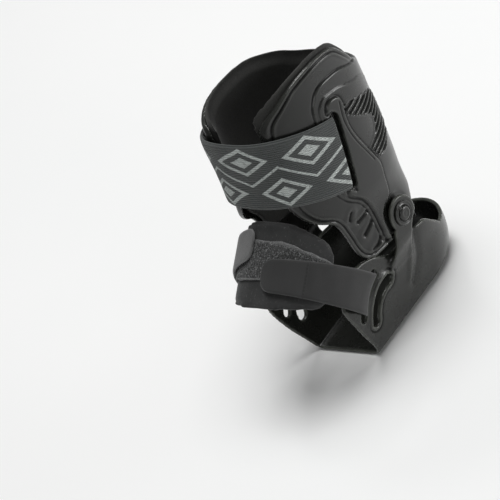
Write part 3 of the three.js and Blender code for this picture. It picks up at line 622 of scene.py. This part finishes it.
def cuff_shell():
    body = cuff_loft("cuff_shell_moulded", 0.0, 0)
    combine(body, cuff_prism(lambda sign: spline(side_rows(CUFF_OUTLINE, sign), 8)), "INTERSECT")
    combine(body, cuff_loft("inside", -CUFF_WALL, 1), "DIFFERENCE")
    for sign in (1, -1):
        combine(body, prism("slot", slot_outline(), sign * 20, sign * SIDE_REACH), "DIFFERENCE")
    remesh(body, 0.62, 3)
    points, normals = points_of(body), normals_of(body)
    lift, out = cuff_lift(points)
    outside = smoothstep(-1.7, -0.5, lift) * smoothstep(0.0, 0.5, (normals * out).sum(axis=1))
    side = points[:, [0, 2]]
    height = np.where(points[:, 1] > 0, cuff_relief(side, 1), cuff_relief(side, -1))
    height *= smoothstep(ARM_RADIUS + 0.5, ARM_RADIUS + 3, np.hypot(*side.T))
    move_points(body, points + (height * outside)[:, None] * out)
    soften(body, 1)
    store_relief(body)
    return body


def grown(points, distance):
    points = np.asarray(points)
    along = np.roll(points, -1, axis=0) - np.roll(points, 1, axis=0)
    along /= np.linalg.norm(along, axis=1)[:, None]
    return points + distance * np.stack([-along[:, 1], along[:, 0]], axis=1)


def cuff_liner():
    def shape(sign):
        lip = grown(spline(side_rows(CUFF_OUTLINE[:12], sign), 8), LINER_LIP)[1:-1]
        fade = LINER_FRONT_FADE
        over = np.maximum(lip[:, 0] - LINER_FRONT + fade, 0) / fade
        lip[:, 0] -= fade * (over - np.tanh(over))
        return np.vstack([lip, spline(LINER_BOTTOM, 8)])

    body = cuff_loft("cuff_liner_foam", -CUFF_WALL - SEAT_GAP, 0)
    combine(body, cuff_loft("inside", -CUFF_WALL - SEAT_GAP - LINER_THICKNESS, 1), "DIFFERENCE")
    combine(body, cuff_prism(shape), "INTERSECT")
    remesh(body, 0.9, 12)
    points = points_of(body)
    lift, out = cuff_lift(points)
    side = points[:, [0, 2]]
    left, right = [line_distance(side, spline(side_rows(CUFF_OUTLINE[:12], sign), 6))
                   for sign in (1, -1)]
    rim = np.where(points[:, 1] > 0, left, right)
    inner = np.clip(-(lift + CUFF_WALL + SEAT_GAP) / LINER_THICKNESS, 0, 1)
    thinner = smoothstep(LINER_LIP_DEPTH, 0, rim)
    move_points(body, points + (LINER_LIP_THINNING * inner * thinner)[:, None] * out)
    soften(body, 14, thinner)
    store_relief(body)
    return body


# Straps and pad

def sheet_body(name, u_stops, v_stops, place):
    """A closed sheet whose faces are place(u, v, 1) outside and place(u, v, 0) inside."""
    u, v = np.meshgrid(u_stops, v_stops, indexing="ij")
    rows, columns = u.shape
    count = rows * columns
    points = np.concatenate([place(u, v, side).reshape(-1, 3) for side in (1, 0)])
    faces = []
    for i in range(rows - 1):
        for j in range(columns - 1):
            a, b, c, d = (i * columns + j, i * columns + j + 1,
                          (i + 1) * columns + j + 1, (i + 1) * columns + j)
            faces += [(a, b, c, d), (a + count, d + count, c + count, b + count)]
        for j in (0, columns - 1):
            a, b = i * columns + j, (i + 1) * columns + j
            faces.append((a, b, b + count, a + count))
    for i in (0, rows - 1):
        for j in range(columns - 1):
            a, b = i * columns + j, i * columns + j + 1
            faces.append((a, a + count, b + count, b))
    obj = mesh_object(name, points, faces)
    tidy_normals(obj)
    return obj


def strap_object(name, rows, columns, place, thickness):
    """A strap from place(u, v, out), with rounded long edges and a map for its material."""
    u_stops, v_stops = np.linspace(0, 1, rows), np.linspace(0, 1, columns)

    def face(u, v, side):
        edge = np.sqrt(np.clip(1 - np.abs(2 * v - 1) ** 14, 0.02, 1))
        return place(u, v, thickness / 2 * (1 + edge if side else 1 - edge))

    obj = sheet_body(name, u_stops, v_stops, face)
    layer = obj.data.uv_layers.new(name="strap")
    flat = np.stack(np.meshgrid(u_stops, v_stops, indexing="ij"), axis=-1).reshape(-1, 2)
    loops = np.empty(len(obj.data.loops), int)
    obj.data.loops.foreach_get("vertex_index", loops)
    layer.data.foreach_set("uv", flat[loops % len(flat)].reshape(-1))
    return obj


def arch_point(angle, along, half, rise):
    angle, along, half, rise = np.broadcast_arrays(angle, along, half, rise)
    return np.stack([along, half * rounded(np.cos(angle), ARCH_ROUNDNESS),
                     rise * rounded(np.sin(angle), ARCH_ROUNDNESS)], axis=-1)


def leg_strap():
    lean = math.tan(LEG_SLOT_LEAN)

    def place(u, v, out):
        share = np.where(u < 0.5, u, 1 - u)
        dip = smoothstep(0.016, 0.0, share)
        lift = (PANEL_RISE + SEAT_GAP) * (1 - dip) + (-CUFF_WALL + 0.2) * dip
        lift = lift + 0.22 * np.sin(v * 7 + u * 19) * smoothstep(0.02, 0.2, share)
        front = np.sin(math.pi * u)
        climb = LEG_STRAP_CLIMB * front
        up = (v - 0.5) * LEG_STRAP_WIDTH * (1 - LEG_STRAP_WAIST * front)
        level = LEG_SLOT_HEIGHT + up
        ahead = LEG_SLOT_AHEAD - up * lean
        start = cuff_angle(ahead, level, lift)
        return cuff_point(start * (1 - 2 * u), level + climb, lift + out)

    return strap_object("leg_strap_elastic", 220, 40, place, LEG_STRAP_THICKNESS)


def instep_strap(name, sign, tab):
    tab_angle, shift = math.radians(tab[0]), tab[1]
    away_x, away_z = CUP_CENTRE[0] - INSTEP_AHEAD, CUP_CENTRE[1] - INSTEP_BASE
    c, s = math.cos(INSTEP_TILT), math.sin(INSTEP_TILT)
    centre = (away_x * c - away_z * s, away_x * s + away_z * c)
    tab_stops = TAB_START + (1 - TAB_START) * np.linspace(0, 1, 26)[1:] ** 0.7
    angles = np.array([0, 0, *np.linspace(0.03, TAB_START, 70), *tab_stops])
    dips, leads = np.zeros((2, len(angles)))
    dips[0], leads[:2] = -CUP_WALL - 0.2, (-2.0, 1.8)

    def place(u, v, out):
        index = np.rint(u * (len(angles) - 1)).astype(int)
        share, dip, lead = angles[index], dips[index], leads[index]
        angle = share * tab_angle
        turn = np.clip((share - TAB_START) / (1 - TAB_START), 0, 1)
        corner = np.clip(1 - turn ** TAB_ROUNDNESS, 0, 1) ** (1 / TAB_ROUNDNESS)
        half = INSTEP_STRAP_WIDTH / 2 * (1 - INSTEP_STRAP_TAPER * share) * np.maximum(corner, 0.2)
        along = shift * share + half * (2 * v - 1)
        total = dip + out + 0.12 * np.sin(26 * share + 3 * v) * smoothstep(0.1, 0.3, share)
        point = arch_point(angle, along, STRAP_HALF_INSIDE + total, STRAP_INSIDE + total)
        low = np.maximum(0, 1 - point[..., 2] / STRAP_FLARE)
        reach = np.maximum(STRAP_SLOT_RADIUS ** 2 - (along - centre[0]) ** 2, 0)
        point[..., 1] = sign * (point[..., 1]
                                - (STRAP_HALF_INSIDE - WALL_OUTSIDE - SEAT_GAP) * low ** 1.5)
        point[..., 2] += (centre[1] + np.sqrt(reach)) * low + lead
        return point

    return strap_object(name, len(angles), 28, place, INSTEP_STRAP_THICKNESS)


def arch_lift(points):
    """How far points stand outside the arch that the pad's outer face follows, and the way out."""
    _, y, z = points.T
    power = ARCH_ROUNDNESS
    u, v = np.abs(y) / PAD_HALF, np.maximum(z, 0) / PAD_RISE
    share = np.maximum((u**power + v**power) ** (1 / power), 1e-6)
    lift = (share - 1) / share * np.hypot(y, z)
    out = np.stack([np.zeros_like(y), np.sign(y) * u ** (power - 1) / PAD_HALF,
                    v ** (power - 1) / PAD_RISE], axis=-1)
    return lift, out / np.maximum(np.linalg.norm(out, axis=1), 1e-9)[:, None]


def arch_angle(points):
    return np.arctan2(points[:, 2] / PAD_RISE, points[:, 1] / PAD_HALF)


def arch_edges(angle, upper, lower):
    """Upper and lower edge at an angle, from shares of the pad's length."""
    crown = np.sin(angle) ** 2
    return (-PAD_LENGTH * (upper[0] + (upper[1] - upper[0]) * crown),
            PAD_LENGTH * (lower[0] + (lower[1] - lower[0]) * crown))


def pad_edges(angle):
    upper, lower = arch_edges(angle, PAD_UPPER, PAD_LOWER)
    rise = np.sin(angle) - math.sin(math.radians(PAD_END))
    wide = 1 - PAD_CORNER_SHARE * np.maximum(0, 1 - rise / PAD_CORNER_RISE) ** 2
    return upper * wide, lower * wide


def instep_pad():
    start = 1.0     # the pad is made this much thinner and shorter, and swells into its place

    def place(u, v, side):
        upper, lower = pad_edges(u)
        along = upper + start + (lower - upper - 2 * start) * v
        inner = np.where(side == 1, start * 0.5, PAD_THICKNESS - start * 0.5)
        return arch_point(u, along, PAD_HALF - inner, PAD_RISE - inner)

    angles = np.radians(np.linspace(PAD_END + 2, 178 - PAD_END, 60))
    body = sheet_body("instep_pad_padded", angles, np.linspace(0, 1, 26), place)
    remesh(body, 2.0, 4)
    before = points_of(body)
    body.data.transform(Matrix.Scale(MM, 4))
    cloth = body.modifiers.new("swell", "CLOTH")
    cloth.settings.quality = 6
    cloth.settings.use_pressure = True
    cloth.settings.uniform_pressure_force = 4
    cloth.settings.effector_weights.gravity = 0
    cloth.point_cache.frame_start, cloth.point_cache.frame_end = 1, 20
    for step in range(1, 21):
        bpy.context.scene.frame_set(step)
    apply_modifiers(body)
    bpy.context.scene.frame_set(1)
    body.data.transform(Matrix.Scale(1 / MM, 4))
    moved = points_of(body) - before
    length = np.linalg.norm(moved, axis=1)
    moved *= (np.minimum(length, PAD_SWELLING) / np.maximum(length, 1e-9))[:, None]
    points = before + moved
    lift, out = arch_lift(points)
    angle = arch_angle(points)
    band_upper, _ = arch_edges(angle, BAND_UPPER, BAND_LOWER)
    under = smoothstep(band_upper - 4, band_upper - 1, points[:, 0])
    under *= 1 - smoothstep(0.27 * PAD_LENGTH, 0.31 * PAD_LENGTH, points[:, 0])
    over = np.maximum(lift + 0.05, 0)
    points -= (over * under)[:, None] * out
    move_points(body, points)
    fine = body.modifiers.new("fine", "SUBSURF")
    fine.levels = fine.render_levels = 1
    apply_modifiers(body)
    points = points_of(body)
    lift, out = arch_lift(points)
    angle = arch_angle(points)
    upper, lower = pad_edges(angle)
    rim = np.minimum(points[:, 0] - upper, lower - points[:, 0])
    outer = smoothstep(-2.2, -0.8, lift)
    points -= (0.5 * bead(rim, 3.2, 0.8) * outer)[:, None] * out
    move_points(body, points)
    store(body, "rim", rim)
    store_relief(body)
    return body


def loop_band():
    rng = np.random.default_rng(7)

    def place(u, v, side):
        wave = 0.35 * np.sin(11 * u) + 0.2 * np.sin(23 * u + 1)
        low, high = arch_edges(u, BAND_UPPER, BAND_LOWER)
        along = low + (high - low) * v + wave * (2 * v - 1)
        out = SEAT_GAP * 0.4 + side * BAND_THICKNESS
        edge = np.clip(1 - np.abs(2 * v - 1) ** 20, 0, 1)
        if side:
            out = out - 0.5 * (1 - edge)
        return arch_point(u, along, PAD_HALF + out, PAD_RISE + out)

    angles = np.radians(np.linspace(BAND_END, 180 - BAND_END, 340))
    body = sheet_body("loop_band_pile", angles, np.linspace(0, 1, 90), place)
    points, normals = points_of(body), normals_of(body)
    lift, _ = arch_lift(points)
    outer = smoothstep(0.6, 1.0, lift)
    fuzz = rng.normal(0, 0.14, len(points)) * outer
    angle = arch_angle(points)
    angle = np.arctan2(np.abs(np.sin(angle)) ** (ARCH_ROUNDNESS / 2), np.cos(angle))
    low, high = arch_edges(angle, BAND_UPPER, BAND_LOWER)
    across = (points[:, 0] - low) / (high - low)
    seam = bead(across, 0.055, 0.02) + bead(across, 0.945, 0.02)
    move_points(body, points + (fuzz - 0.3 * seam * outer)[:, None] * normals)
    store(body, "across", across)
    return body


# Hinge pieces

def turned(name, profile, sign):
    angles = np.linspace(0, 2 * math.pi, 72, endpoint=False)
    rings = [[(r * math.cos(a), sign * out, HINGE_HEIGHT + r * math.sin(a)) for a in angles]
             for r, out in profile]
    return loft(name, rings)


def rivet(sign):
    head, tail = HINGE_HALF + SEAT_GAP, LUG_INSIDE - SEAT_GAP
    dome = [(RIVET_RADIUS * math.sin(a), head + 0.9 + 1.6 * math.cos(a))
            for a in np.linspace(math.pi / 2, 0.06, 9)]
    dome = [(r, out) for r, out in dome if r > 2.6]
    profile = [(0.2, tail - 1.4), (4.5, tail - 1.4), (4.9, tail - 1.0), (4.9, tail), (2.4, tail),
               (2.4, head), (4.7, head), (4.9, head + 0.2), *dome,
               (2.35, head + 2.02), (1.9, head + 1.9), (1.2, head + 2.0), (0.2, head + 2.1)]
    return turned(("left" if sign > 0 else "right") + "_rivet_domed", profile, sign)


def hinge_ring(sign):
    base, bore = HINGE_HALF + SEAT_GAP * 0.3, RIVET_RADIUS + 0.3
    profile = [(bore, 0), (bore, 0.9), (bore + 0.3, 1.25), (bore + 0.8, 1.3), (bore + 1.3, 0.85),
               (RING_RADIUS - 1.2, 0.85), (RING_RADIUS - 0.8, 1.2), (RING_RADIUS - 0.3, 1.15),
               (RING_RADIUS, 0.8), (RING_RADIUS, 0)]
    profile = [(r, base + out) for r, out in profile]
    obj = turned(("left" if sign > 0 else "right") + "_hinge_collar", profile, sign)
    shape = bmesh.new()
    shape.from_mesh(obj.data)
    caps = [face for face in shape.faces if len(face.verts) > 4]
    bmesh.ops.delete(shape, geom=caps, context="FACES_ONLY")
    border = [edge for edge in shape.edges if edge.is_boundary]
    bmesh.ops.bridge_loops(shape, edges=border)
    bmesh.ops.recalc_face_normals(shape, faces=shape.faces)
    shape.to_mesh(obj.data)
    shape.free()
    return obj


# Materials

class Nodes:
    """Short calls for building one material."""

    def __init__(self, name):
        self.material = bpy.data.materials.new(name)
        self.material.use_nodes = True
        self.tree = self.material.node_tree
        self.shader = self.tree.nodes["Principled BSDF"]
        self.place = self.add("ShaderNodeTexCoord").outputs["Object"]

    def add(self, kind, **settings):
        node = self.tree.nodes.new(kind)
        for key, value in settings.items():
            setattr(node, key, value)
        return node

    def link(self, source, target):
        self.tree.links.new(source, target)

    def feed(self, value, socket):
        if hasattr(value, "is_output"):
            self.link(value, socket)
        else:
            socket.default_value = value

    def math(self, operation, a, b=0.0):
        node = self.add("ShaderNodeMath", operation=operation)
        for value, socket in zip((a, b), node.inputs):
            self.feed(value, socket)
        return node.outputs[0]

    def times(self, a, b):
        return self.math("MULTIPLY", a, b)

    def apart(self, a, b):
        return self.math("ABSOLUTE", self.math("SUBTRACT", a, b))

    def wave(self, value, pitch):
        return self.math("SINE", self.times(value, 2 * math.pi / pitch))

    def attribute(self, name):
        return self.add("ShaderNodeAttribute", attribute_name=name).outputs["Fac"]

    def noise(self, scale, detail=4.0, roughness=0.55):
        node = self.add("ShaderNodeTexNoise")
        node.inputs["Scale"].default_value = scale
        node.inputs["Detail"].default_value = detail
        node.inputs["Roughness"].default_value = roughness
        self.link(self.place, node.inputs["Vector"])
        return node.outputs["Fac"]

    def cells(self, scale):
        node = self.add("ShaderNodeTexVoronoi")
        node.inputs["Scale"].default_value = scale
        self.link(self.place, node.inputs["Vector"])
        return node.outputs["Distance"]

    def ramp(self, value, stops):
        node = self.add("ShaderNodeValToRGB")
        elements = node.color_ramp.elements
        while len(elements) < len(stops):
            elements.new(0.5)
        for element, (at, colour) in zip(elements, stops):
            element.position = at
            element.color = (*colour, 1)
        self.feed(value, node.inputs[0])
        return node.outputs[0]

    def mix(self, share, a, b):
        node = self.add("ShaderNodeMix", data_type="RGBA")
        self.feed(share, node.inputs[0])
        self.feed(a if hasattr(a, "is_output") else (*a, 1), node.inputs[6])
        self.feed(b if hasattr(b, "is_output") else (*b, 1), node.inputs[7])
        return node.outputs[2]

    def range(self, value, low, high, to_low, to_high):
        node = self.add("ShaderNodeMapRange")
        for socket, number in zip(node.inputs[1:5], (low, high, to_low, to_high)):
            socket.default_value = number
        self.feed(value, node.inputs[0])
        return node.outputs[0]

    def bump(self, height, distance, strength=1.0, normal=None):
        node = self.add("ShaderNodeBump")
        node.inputs["Strength"].default_value = strength
        node.inputs["Distance"].default_value = distance
        self.link(height, node.inputs["Height"])
        if normal:
            self.link(normal, node.inputs["Normal"])
        return node.outputs[0]

    def done(self, colour, roughness, normal, **sockets):
        for value, name in ((colour, "Base Color"), (roughness, "Roughness"), (normal, "Normal")):
            if value is not None:
                self.feed(value, self.shader.inputs[name])
        for name, value in sockets.items():
            self.feed(value, self.shader.inputs[name.replace("_", " ")])
        return self.material


def plastic(name, colour, roughness):
    def shade(share):
        return tuple(c * share for c in colour)

    n = Nodes(name)
    # Raised edges are mixed towards a much lighter colour: partly rubbed wear, partly a painted
    # highlight on the edges.
    raised_edge_share = n.range(n.attribute("standing"), 0.03, 0.22, 0.0, 1.0)
    scuffs = n.noise(160.0, 6.0, 0.7)
    wear_and_painted_light = n.times(raised_edge_share, n.range(scuffs, 0.35, 0.6, 0.45, 1.0))
    # Sunken points are darkened as painted shade in the recesses, and their specular level is
    # lowered with it.
    recess_shade = n.range(n.attribute("standing"), -0.16, -0.02, 1.0, 0.0)
    base = n.ramp(n.noise(26.0, 3.0), [(0.35, shade(0.82)), (0.7, shade(1.18))])
    base = n.mix(wear_and_painted_light, base, shade(5.0))
    base = n.mix(recess_shade, base, shade(0.3))
    gloss = n.math("SUBTRACT", 0.4, n.times(recess_shade, 0.34))
    rough = n.math("ADD", n.range(n.noise(60.0, 5.0), 0.3, 0.7, roughness - 0.05, roughness + 0.08),
                   n.times(wear_and_painted_light, -0.10))
    normal = n.bump(n.noise(1400.0, 2.0), 0.00004, 0.35)
    normal = n.bump(n.noise(90.0, 3.0), 0.0004, 0.25, normal)
    return n.done(base, rough, normal, Coat_Weight=0.2, Coat_Roughness=0.13,
                  Specular_IOR_Level=gloss)


def foam(name):
    n = Nodes(name)
    cloud = n.noise(40.0, 4.0)
    base = n.ramp(cloud, [(0.3, (0.008, 0.008, 0.0068)), (0.75, (0.017, 0.017, 0.0145))])
    rough = n.range(n.noise(900.0, 4.0, 0.7), 0.3, 0.7, 0.62, 0.85)
    normal = n.bump(n.cells(1500.0), 0.00012, 0.5)
    normal = n.bump(cloud, 0.0008, 0.3, normal)
    return n.done(base, rough, normal, Sheen_Weight=0.1, Sheen_Roughness=0.5)


def knit(name):
    n = Nodes(name)
    cloud = n.noise(70.0, 4.0)
    base = n.ramp(cloud, [(0.3, (0.021, 0.0215, 0.0215)), (0.75, (0.042, 0.0425, 0.0425))])
    flecks = n.range(n.noise(650.0, 2.0), 0.62, 0.78, 0.0, 0.55)
    base = n.mix(flecks, base, (0.12, 0.122, 0.122))
    rim = n.range(n.attribute("rim"), 1.6, 3.4, 1.0, 0.0)
    base = n.mix(n.times(rim, 0.45), base, (0.012, 0.012, 0.012))
    normal = n.bump(n.noise(1300.0, 5.0, 0.75), 0.0003, 0.7)
    return n.done(base, 0.93, normal, Sheen_Weight=0.22, Sheen_Roughness=0.4)


def pile(name):
    n = Nodes(name)
    cloud = n.noise(120.0, 5.0, 0.7)
    flecks = n.noise(800.0, 3.0, 0.8)
    base = n.ramp(cloud, [(0.3, (0.014, 0.014, 0.014)), (0.7, (0.050, 0.051, 0.051))])
    base = n.mix(n.range(flecks, 0.52, 0.64, 0.0, 0.85), base, (0.26, 0.265, 0.265))
    selvedge = n.range(n.apart(n.attribute("across"), 0.5), 0.435, 0.455, 0.0, 0.6)
    base = n.mix(selvedge, base, (0.19, 0.193, 0.193))
    normal = n.bump(n.cells(1150.0), 0.0005, 0.9)
    normal = n.bump(flecks, 0.0004, 0.6, normal)
    return n.done(base, 0.95, normal, Sheen_Weight=0.3, Sheen_Roughness=0.5)


def strap_uv(n, width, length):
    """The place on a strap in millimetres: along it and across it."""
    uv = n.add("ShaderNodeUVMap", uv_map="strap").outputs[0]
    split = n.add("ShaderNodeSeparateXYZ")
    n.link(uv, split.inputs[0])
    return n.times(split.outputs[0], length), n.times(split.outputs[1], width)


def webbing(name, tone):
    """Flat hook-backed strap with a faint rib across it and a sewn line."""
    n = Nodes(name)
    width, length, seam = INSTEP_STRAP_WIDTH, INSTEP_STRAP_SPREAD, INSTEP_STRAP_SEAM
    along, across = strap_uv(n, width, length)
    weave = n.times(n.wave(along, 1.1), n.wave(across, 0.9))
    cloud = n.noise(55.0, 5.0, 0.65)
    fuzz = n.noise(1500.0, 3.0, 0.7)
    base = n.ramp(cloud, [(0.3, (0.8 * tone,) * 3), (0.75, (1.25 * tone,) * 3)])
    base = n.mix(n.range(n.noise(520.0, 2.0), 0.68, 0.8, 0.0, 0.5), base, (2.5 * tone,) * 3)
    sewn = n.range(n.apart(along, seam), 0.5, 1.1, 1.0, 0.0)
    stitch = n.times(sewn, n.range(n.wave(across, 2.6), -0.2, 0.2, 0.0, 1.0))
    base = n.mix(n.times(stitch, 0.6), base, (0.3 * tone,) * 3)
    base = n.mix(n.range(along, seam, seam + 2.0, 0.0, 0.35), base, (1.9 * tone,) * 3)
    # Both long edges are painted lighter: welded edges with a painted highlight along them.
    edge = n.apart(across, width / 2)
    welded_edge_highlight = n.range(edge, width / 2 - 1.3, width / 2 - 0.7, 0.0, 1.0)
    base = n.mix(n.times(welded_edge_highlight, 0.4), base, (2.6 * tone,) * 3)
    normal = n.bump(weave, 0.00012, 0.35)
    normal = n.bump(fuzz, 0.0001, 0.5, normal)
    normal = n.bump(sewn, 0.0003, 0.6, normal)
    return n.done(base, 0.78, normal, Sheen_Weight=0.25, Sheen_Roughness=0.45)


def elastic(name):
    """Ribbed elastic with a printed zigzag between two rows of lozenges."""
    n = Nodes(name)
    along, across = strap_uv(n, LEG_STRAP_WIDTH, LEG_STRAP_PRINTED)
    rib = n.wave(across, 1.5)
    cloud = n.noise(60.0, 5.0, 0.6)
    base = n.ramp(cloud, [(0.3, (0.036, 0.041, 0.0395)), (0.75, (0.056, 0.062, 0.060))])
    # Rib crests are painted lighter than the valleys: painted light on the ribs.
    base = n.mix(n.range(rib, -1.0, 1.0, 0.0, 0.4), base, (0.085, 0.092, 0.090))

    pitch = 70.0
    printed = None
    for row, shift in ((12.5, 0.0), (37.5, pitch / 2)):
        beside = n.math("PINGPONG", n.math("ADD", along, shift), pitch / 2)
        above = n.apart(across, row)
        lozenge = n.math("ADD", beside, n.times(above, 2.6))
        frame_line = n.times(n.range(lozenge, 27.6, 28.2, 1.0, 0.0),
                             n.range(lozenge, 20.6, 21.2, 0.0, 1.0))
        shape = n.math("MAXIMUM", frame_line, n.range(lozenge, 11.0, 11.6, 1.0, 0.0))
        printed = shape if printed is None else n.math("MAXIMUM", printed, shape)
    wave = n.math("PINGPONG", along, pitch / 2)
    line = n.math("SUBTRACT", 31.5, n.times(wave, 13.0 / (pitch / 2)))
    zigzag = n.range(n.apart(across, line), 0.8, 1.1, 1.0, 0.0)
    printed = n.math("MAXIMUM", printed, zigzag)
    # The print fades at random as wear, and is dimmer in the rib valleys as painted shade.
    wear_and_painted_light = n.range(n.noise(420.0, 4.0, 0.7), 0.34, 0.5, 0.55, 1.0)
    wear_and_painted_light = n.times(wear_and_painted_light, n.range(rib, -1.0, 0.4, 0.62, 1.0))
    base = n.mix(n.times(printed, wear_and_painted_light), base, (0.56, 0.60, 0.58))
    normal = n.bump(rib, 0.0003, 0.8)
    normal = n.bump(n.wave(along, 1.3), 0.00006, 0.3, normal)
    normal = n.bump(printed, 0.00008, 0.4, normal)
    return n.done(base, 0.82, normal, Sheen_Weight=0.2, Sheen_Roughness=0.5)


# Camera, light and floor

def camera():
    right = Vector((-0.522, 0.731, -0.438)).normalized()
    towards = Vector((0.502, 0.679, 0.535))
    towards = (towards - towards.dot(right) * right).normalized()
    up = towards.cross(right)
    aim = (-94.25 * right + 22.75 * up + 60 * towards) * MM
    data = bpy.data.cameras.new("camera")
    data.lens, data.sensor_width = 36 * CAMERA_DISTANCE / PICTURE_WIDTH, 36
    obj = bpy.data.objects.new("camera", data)
    bpy.context.scene.collection.objects.link(obj)
    turn = Matrix((right, up, towards)).transposed().to_4x4()
    obj.matrix_world = Matrix.Translation(aim + CAMERA_DISTANCE * MM * towards) @ turn
    data.clip_start, data.clip_end = 0.05, 20
    bpy.context.scene.camera = obj
    return right, up, towards


def area_light(name, place, aim, size, power):
    data = bpy.data.lights.new(name, "AREA")
    data.shape, data.size, data.energy = "DISK", size, power
    obj = bpy.data.objects.new(name, data)
    bpy.context.scene.collection.objects.link(obj)
    direction = Vector(aim) - Vector(place)
    turn = direction.to_track_quat("-Z", "Y").to_matrix().to_4x4()
    obj.matrix_world = Matrix.Translation(place) @ turn


def surroundings(right, up, towards):
    scene = bpy.context.scene
    scene.view_settings.view_transform = "Standard"
    world = bpy.data.worlds.new("studio")
    world.use_nodes = True
    scene.world = world
    world.node_tree.nodes["Background"].inputs[0].default_value = (0.93, 0.94, 0.94, 1)
    world.node_tree.nodes["Background"].inputs[1].default_value = 0.2
    floor = mesh_object("floor", [(-6, -6, 0), (6, -6, 0), (6, 6, 0), (-6, 6, 0)], [(0, 1, 2, 3)])
    n = Nodes("floor")
    pale = n.ramp(n.noise(3.0), [(0.3, (0.92, 0.925, 0.92)), (0.7, (0.94, 0.94, 0.935))])
    floor.data.materials.append(n.done(pale, 0.9, None))
    aim = Vector((0.02, 0, 0.1))
    area_light("overhead", aim + Vector((-0.5, 0.1, 2.6)), aim, 2.0, 62)
    area_light("side", aim + 0.9 * right + 0.35 * up + 0.15 * towards, aim, 0.4, 3.6)
    area_light("edge", aim + 0.9 * up - 0.5 * right - 0.1 * towards, aim, 0.18, 0.9)
    area_light("fill", aim + 1.3 * towards + 0.5 * right, aim, 0.5, 1.2)


right, up, towards = camera()
surroundings(right, up, towards)

shell_plastic = plastic("shell_plastic", (0.0080, 0.0085, 0.0074), 0.29)
cup_plastic = plastic("cup_plastic", (0.0130, 0.0138, 0.0118), 0.25)
rivet_plastic = plastic("rivet_plastic", (0.014, 0.0145, 0.0130), 0.28)
liner_foam = foam("liner_foam")
pad_knit = knit("pad_knit")
loop_pile = pile("loop_pile")
tab_webbing = webbing("tab_webbing", 0.017)
# The far tab is the same webbing made about six times lighter, as painted light for the light
# falling on it from above.
lit_far_webbing = webbing("far_tab_webbing_painted_lit", 0.105)
printed_elastic = elastic("printed_elastic")

finish_piece(foot_shell(), FOOT_FRAME, cup_plastic, "foot", "foot_shell")
finish_piece(cuff_shell(), CUFF_FRAME, shell_plastic, "cuff", "cuff_shell")
liner = finish_piece(cuff_liner(), CUFF_FRAME, liner_foam, "cuff", "cuff_liner")
finish_piece(leg_strap(), CUFF_FRAME, printed_elastic, "cuff", "leg_strap")
pad = finish_piece(instep_pad(), INSTEP_FRAME, pad_knit, "foot", "instep_pad")
finish_piece(loop_band(), INSTEP_FRAME, loop_pile, "foot", "loop_band")
finish_piece(instep_strap("left_instep_strap_tabbed", 1, LEFT_TAB), INSTEP_FRAME, tab_webbing,
             "foot", "left_instep_strap")
finish_piece(instep_strap("right_instep_strap_tabbed", -1, RIGHT_TAB), INSTEP_FRAME, lit_far_webbing,
             "foot", "right_instep_strap")
for side_name, side_sign in (("left", 1), ("right", -1)):
    for make, node in ((rivet, "rivet"), (hinge_ring, "hinge_ring")):
        obj = make(side_sign)
        store(obj, "standing", np.zeros(len(obj.data.vertices)))
        finish_piece(obj, FOOT_FRAME, rivet_plastic, "foot", side_name + "_" + node)
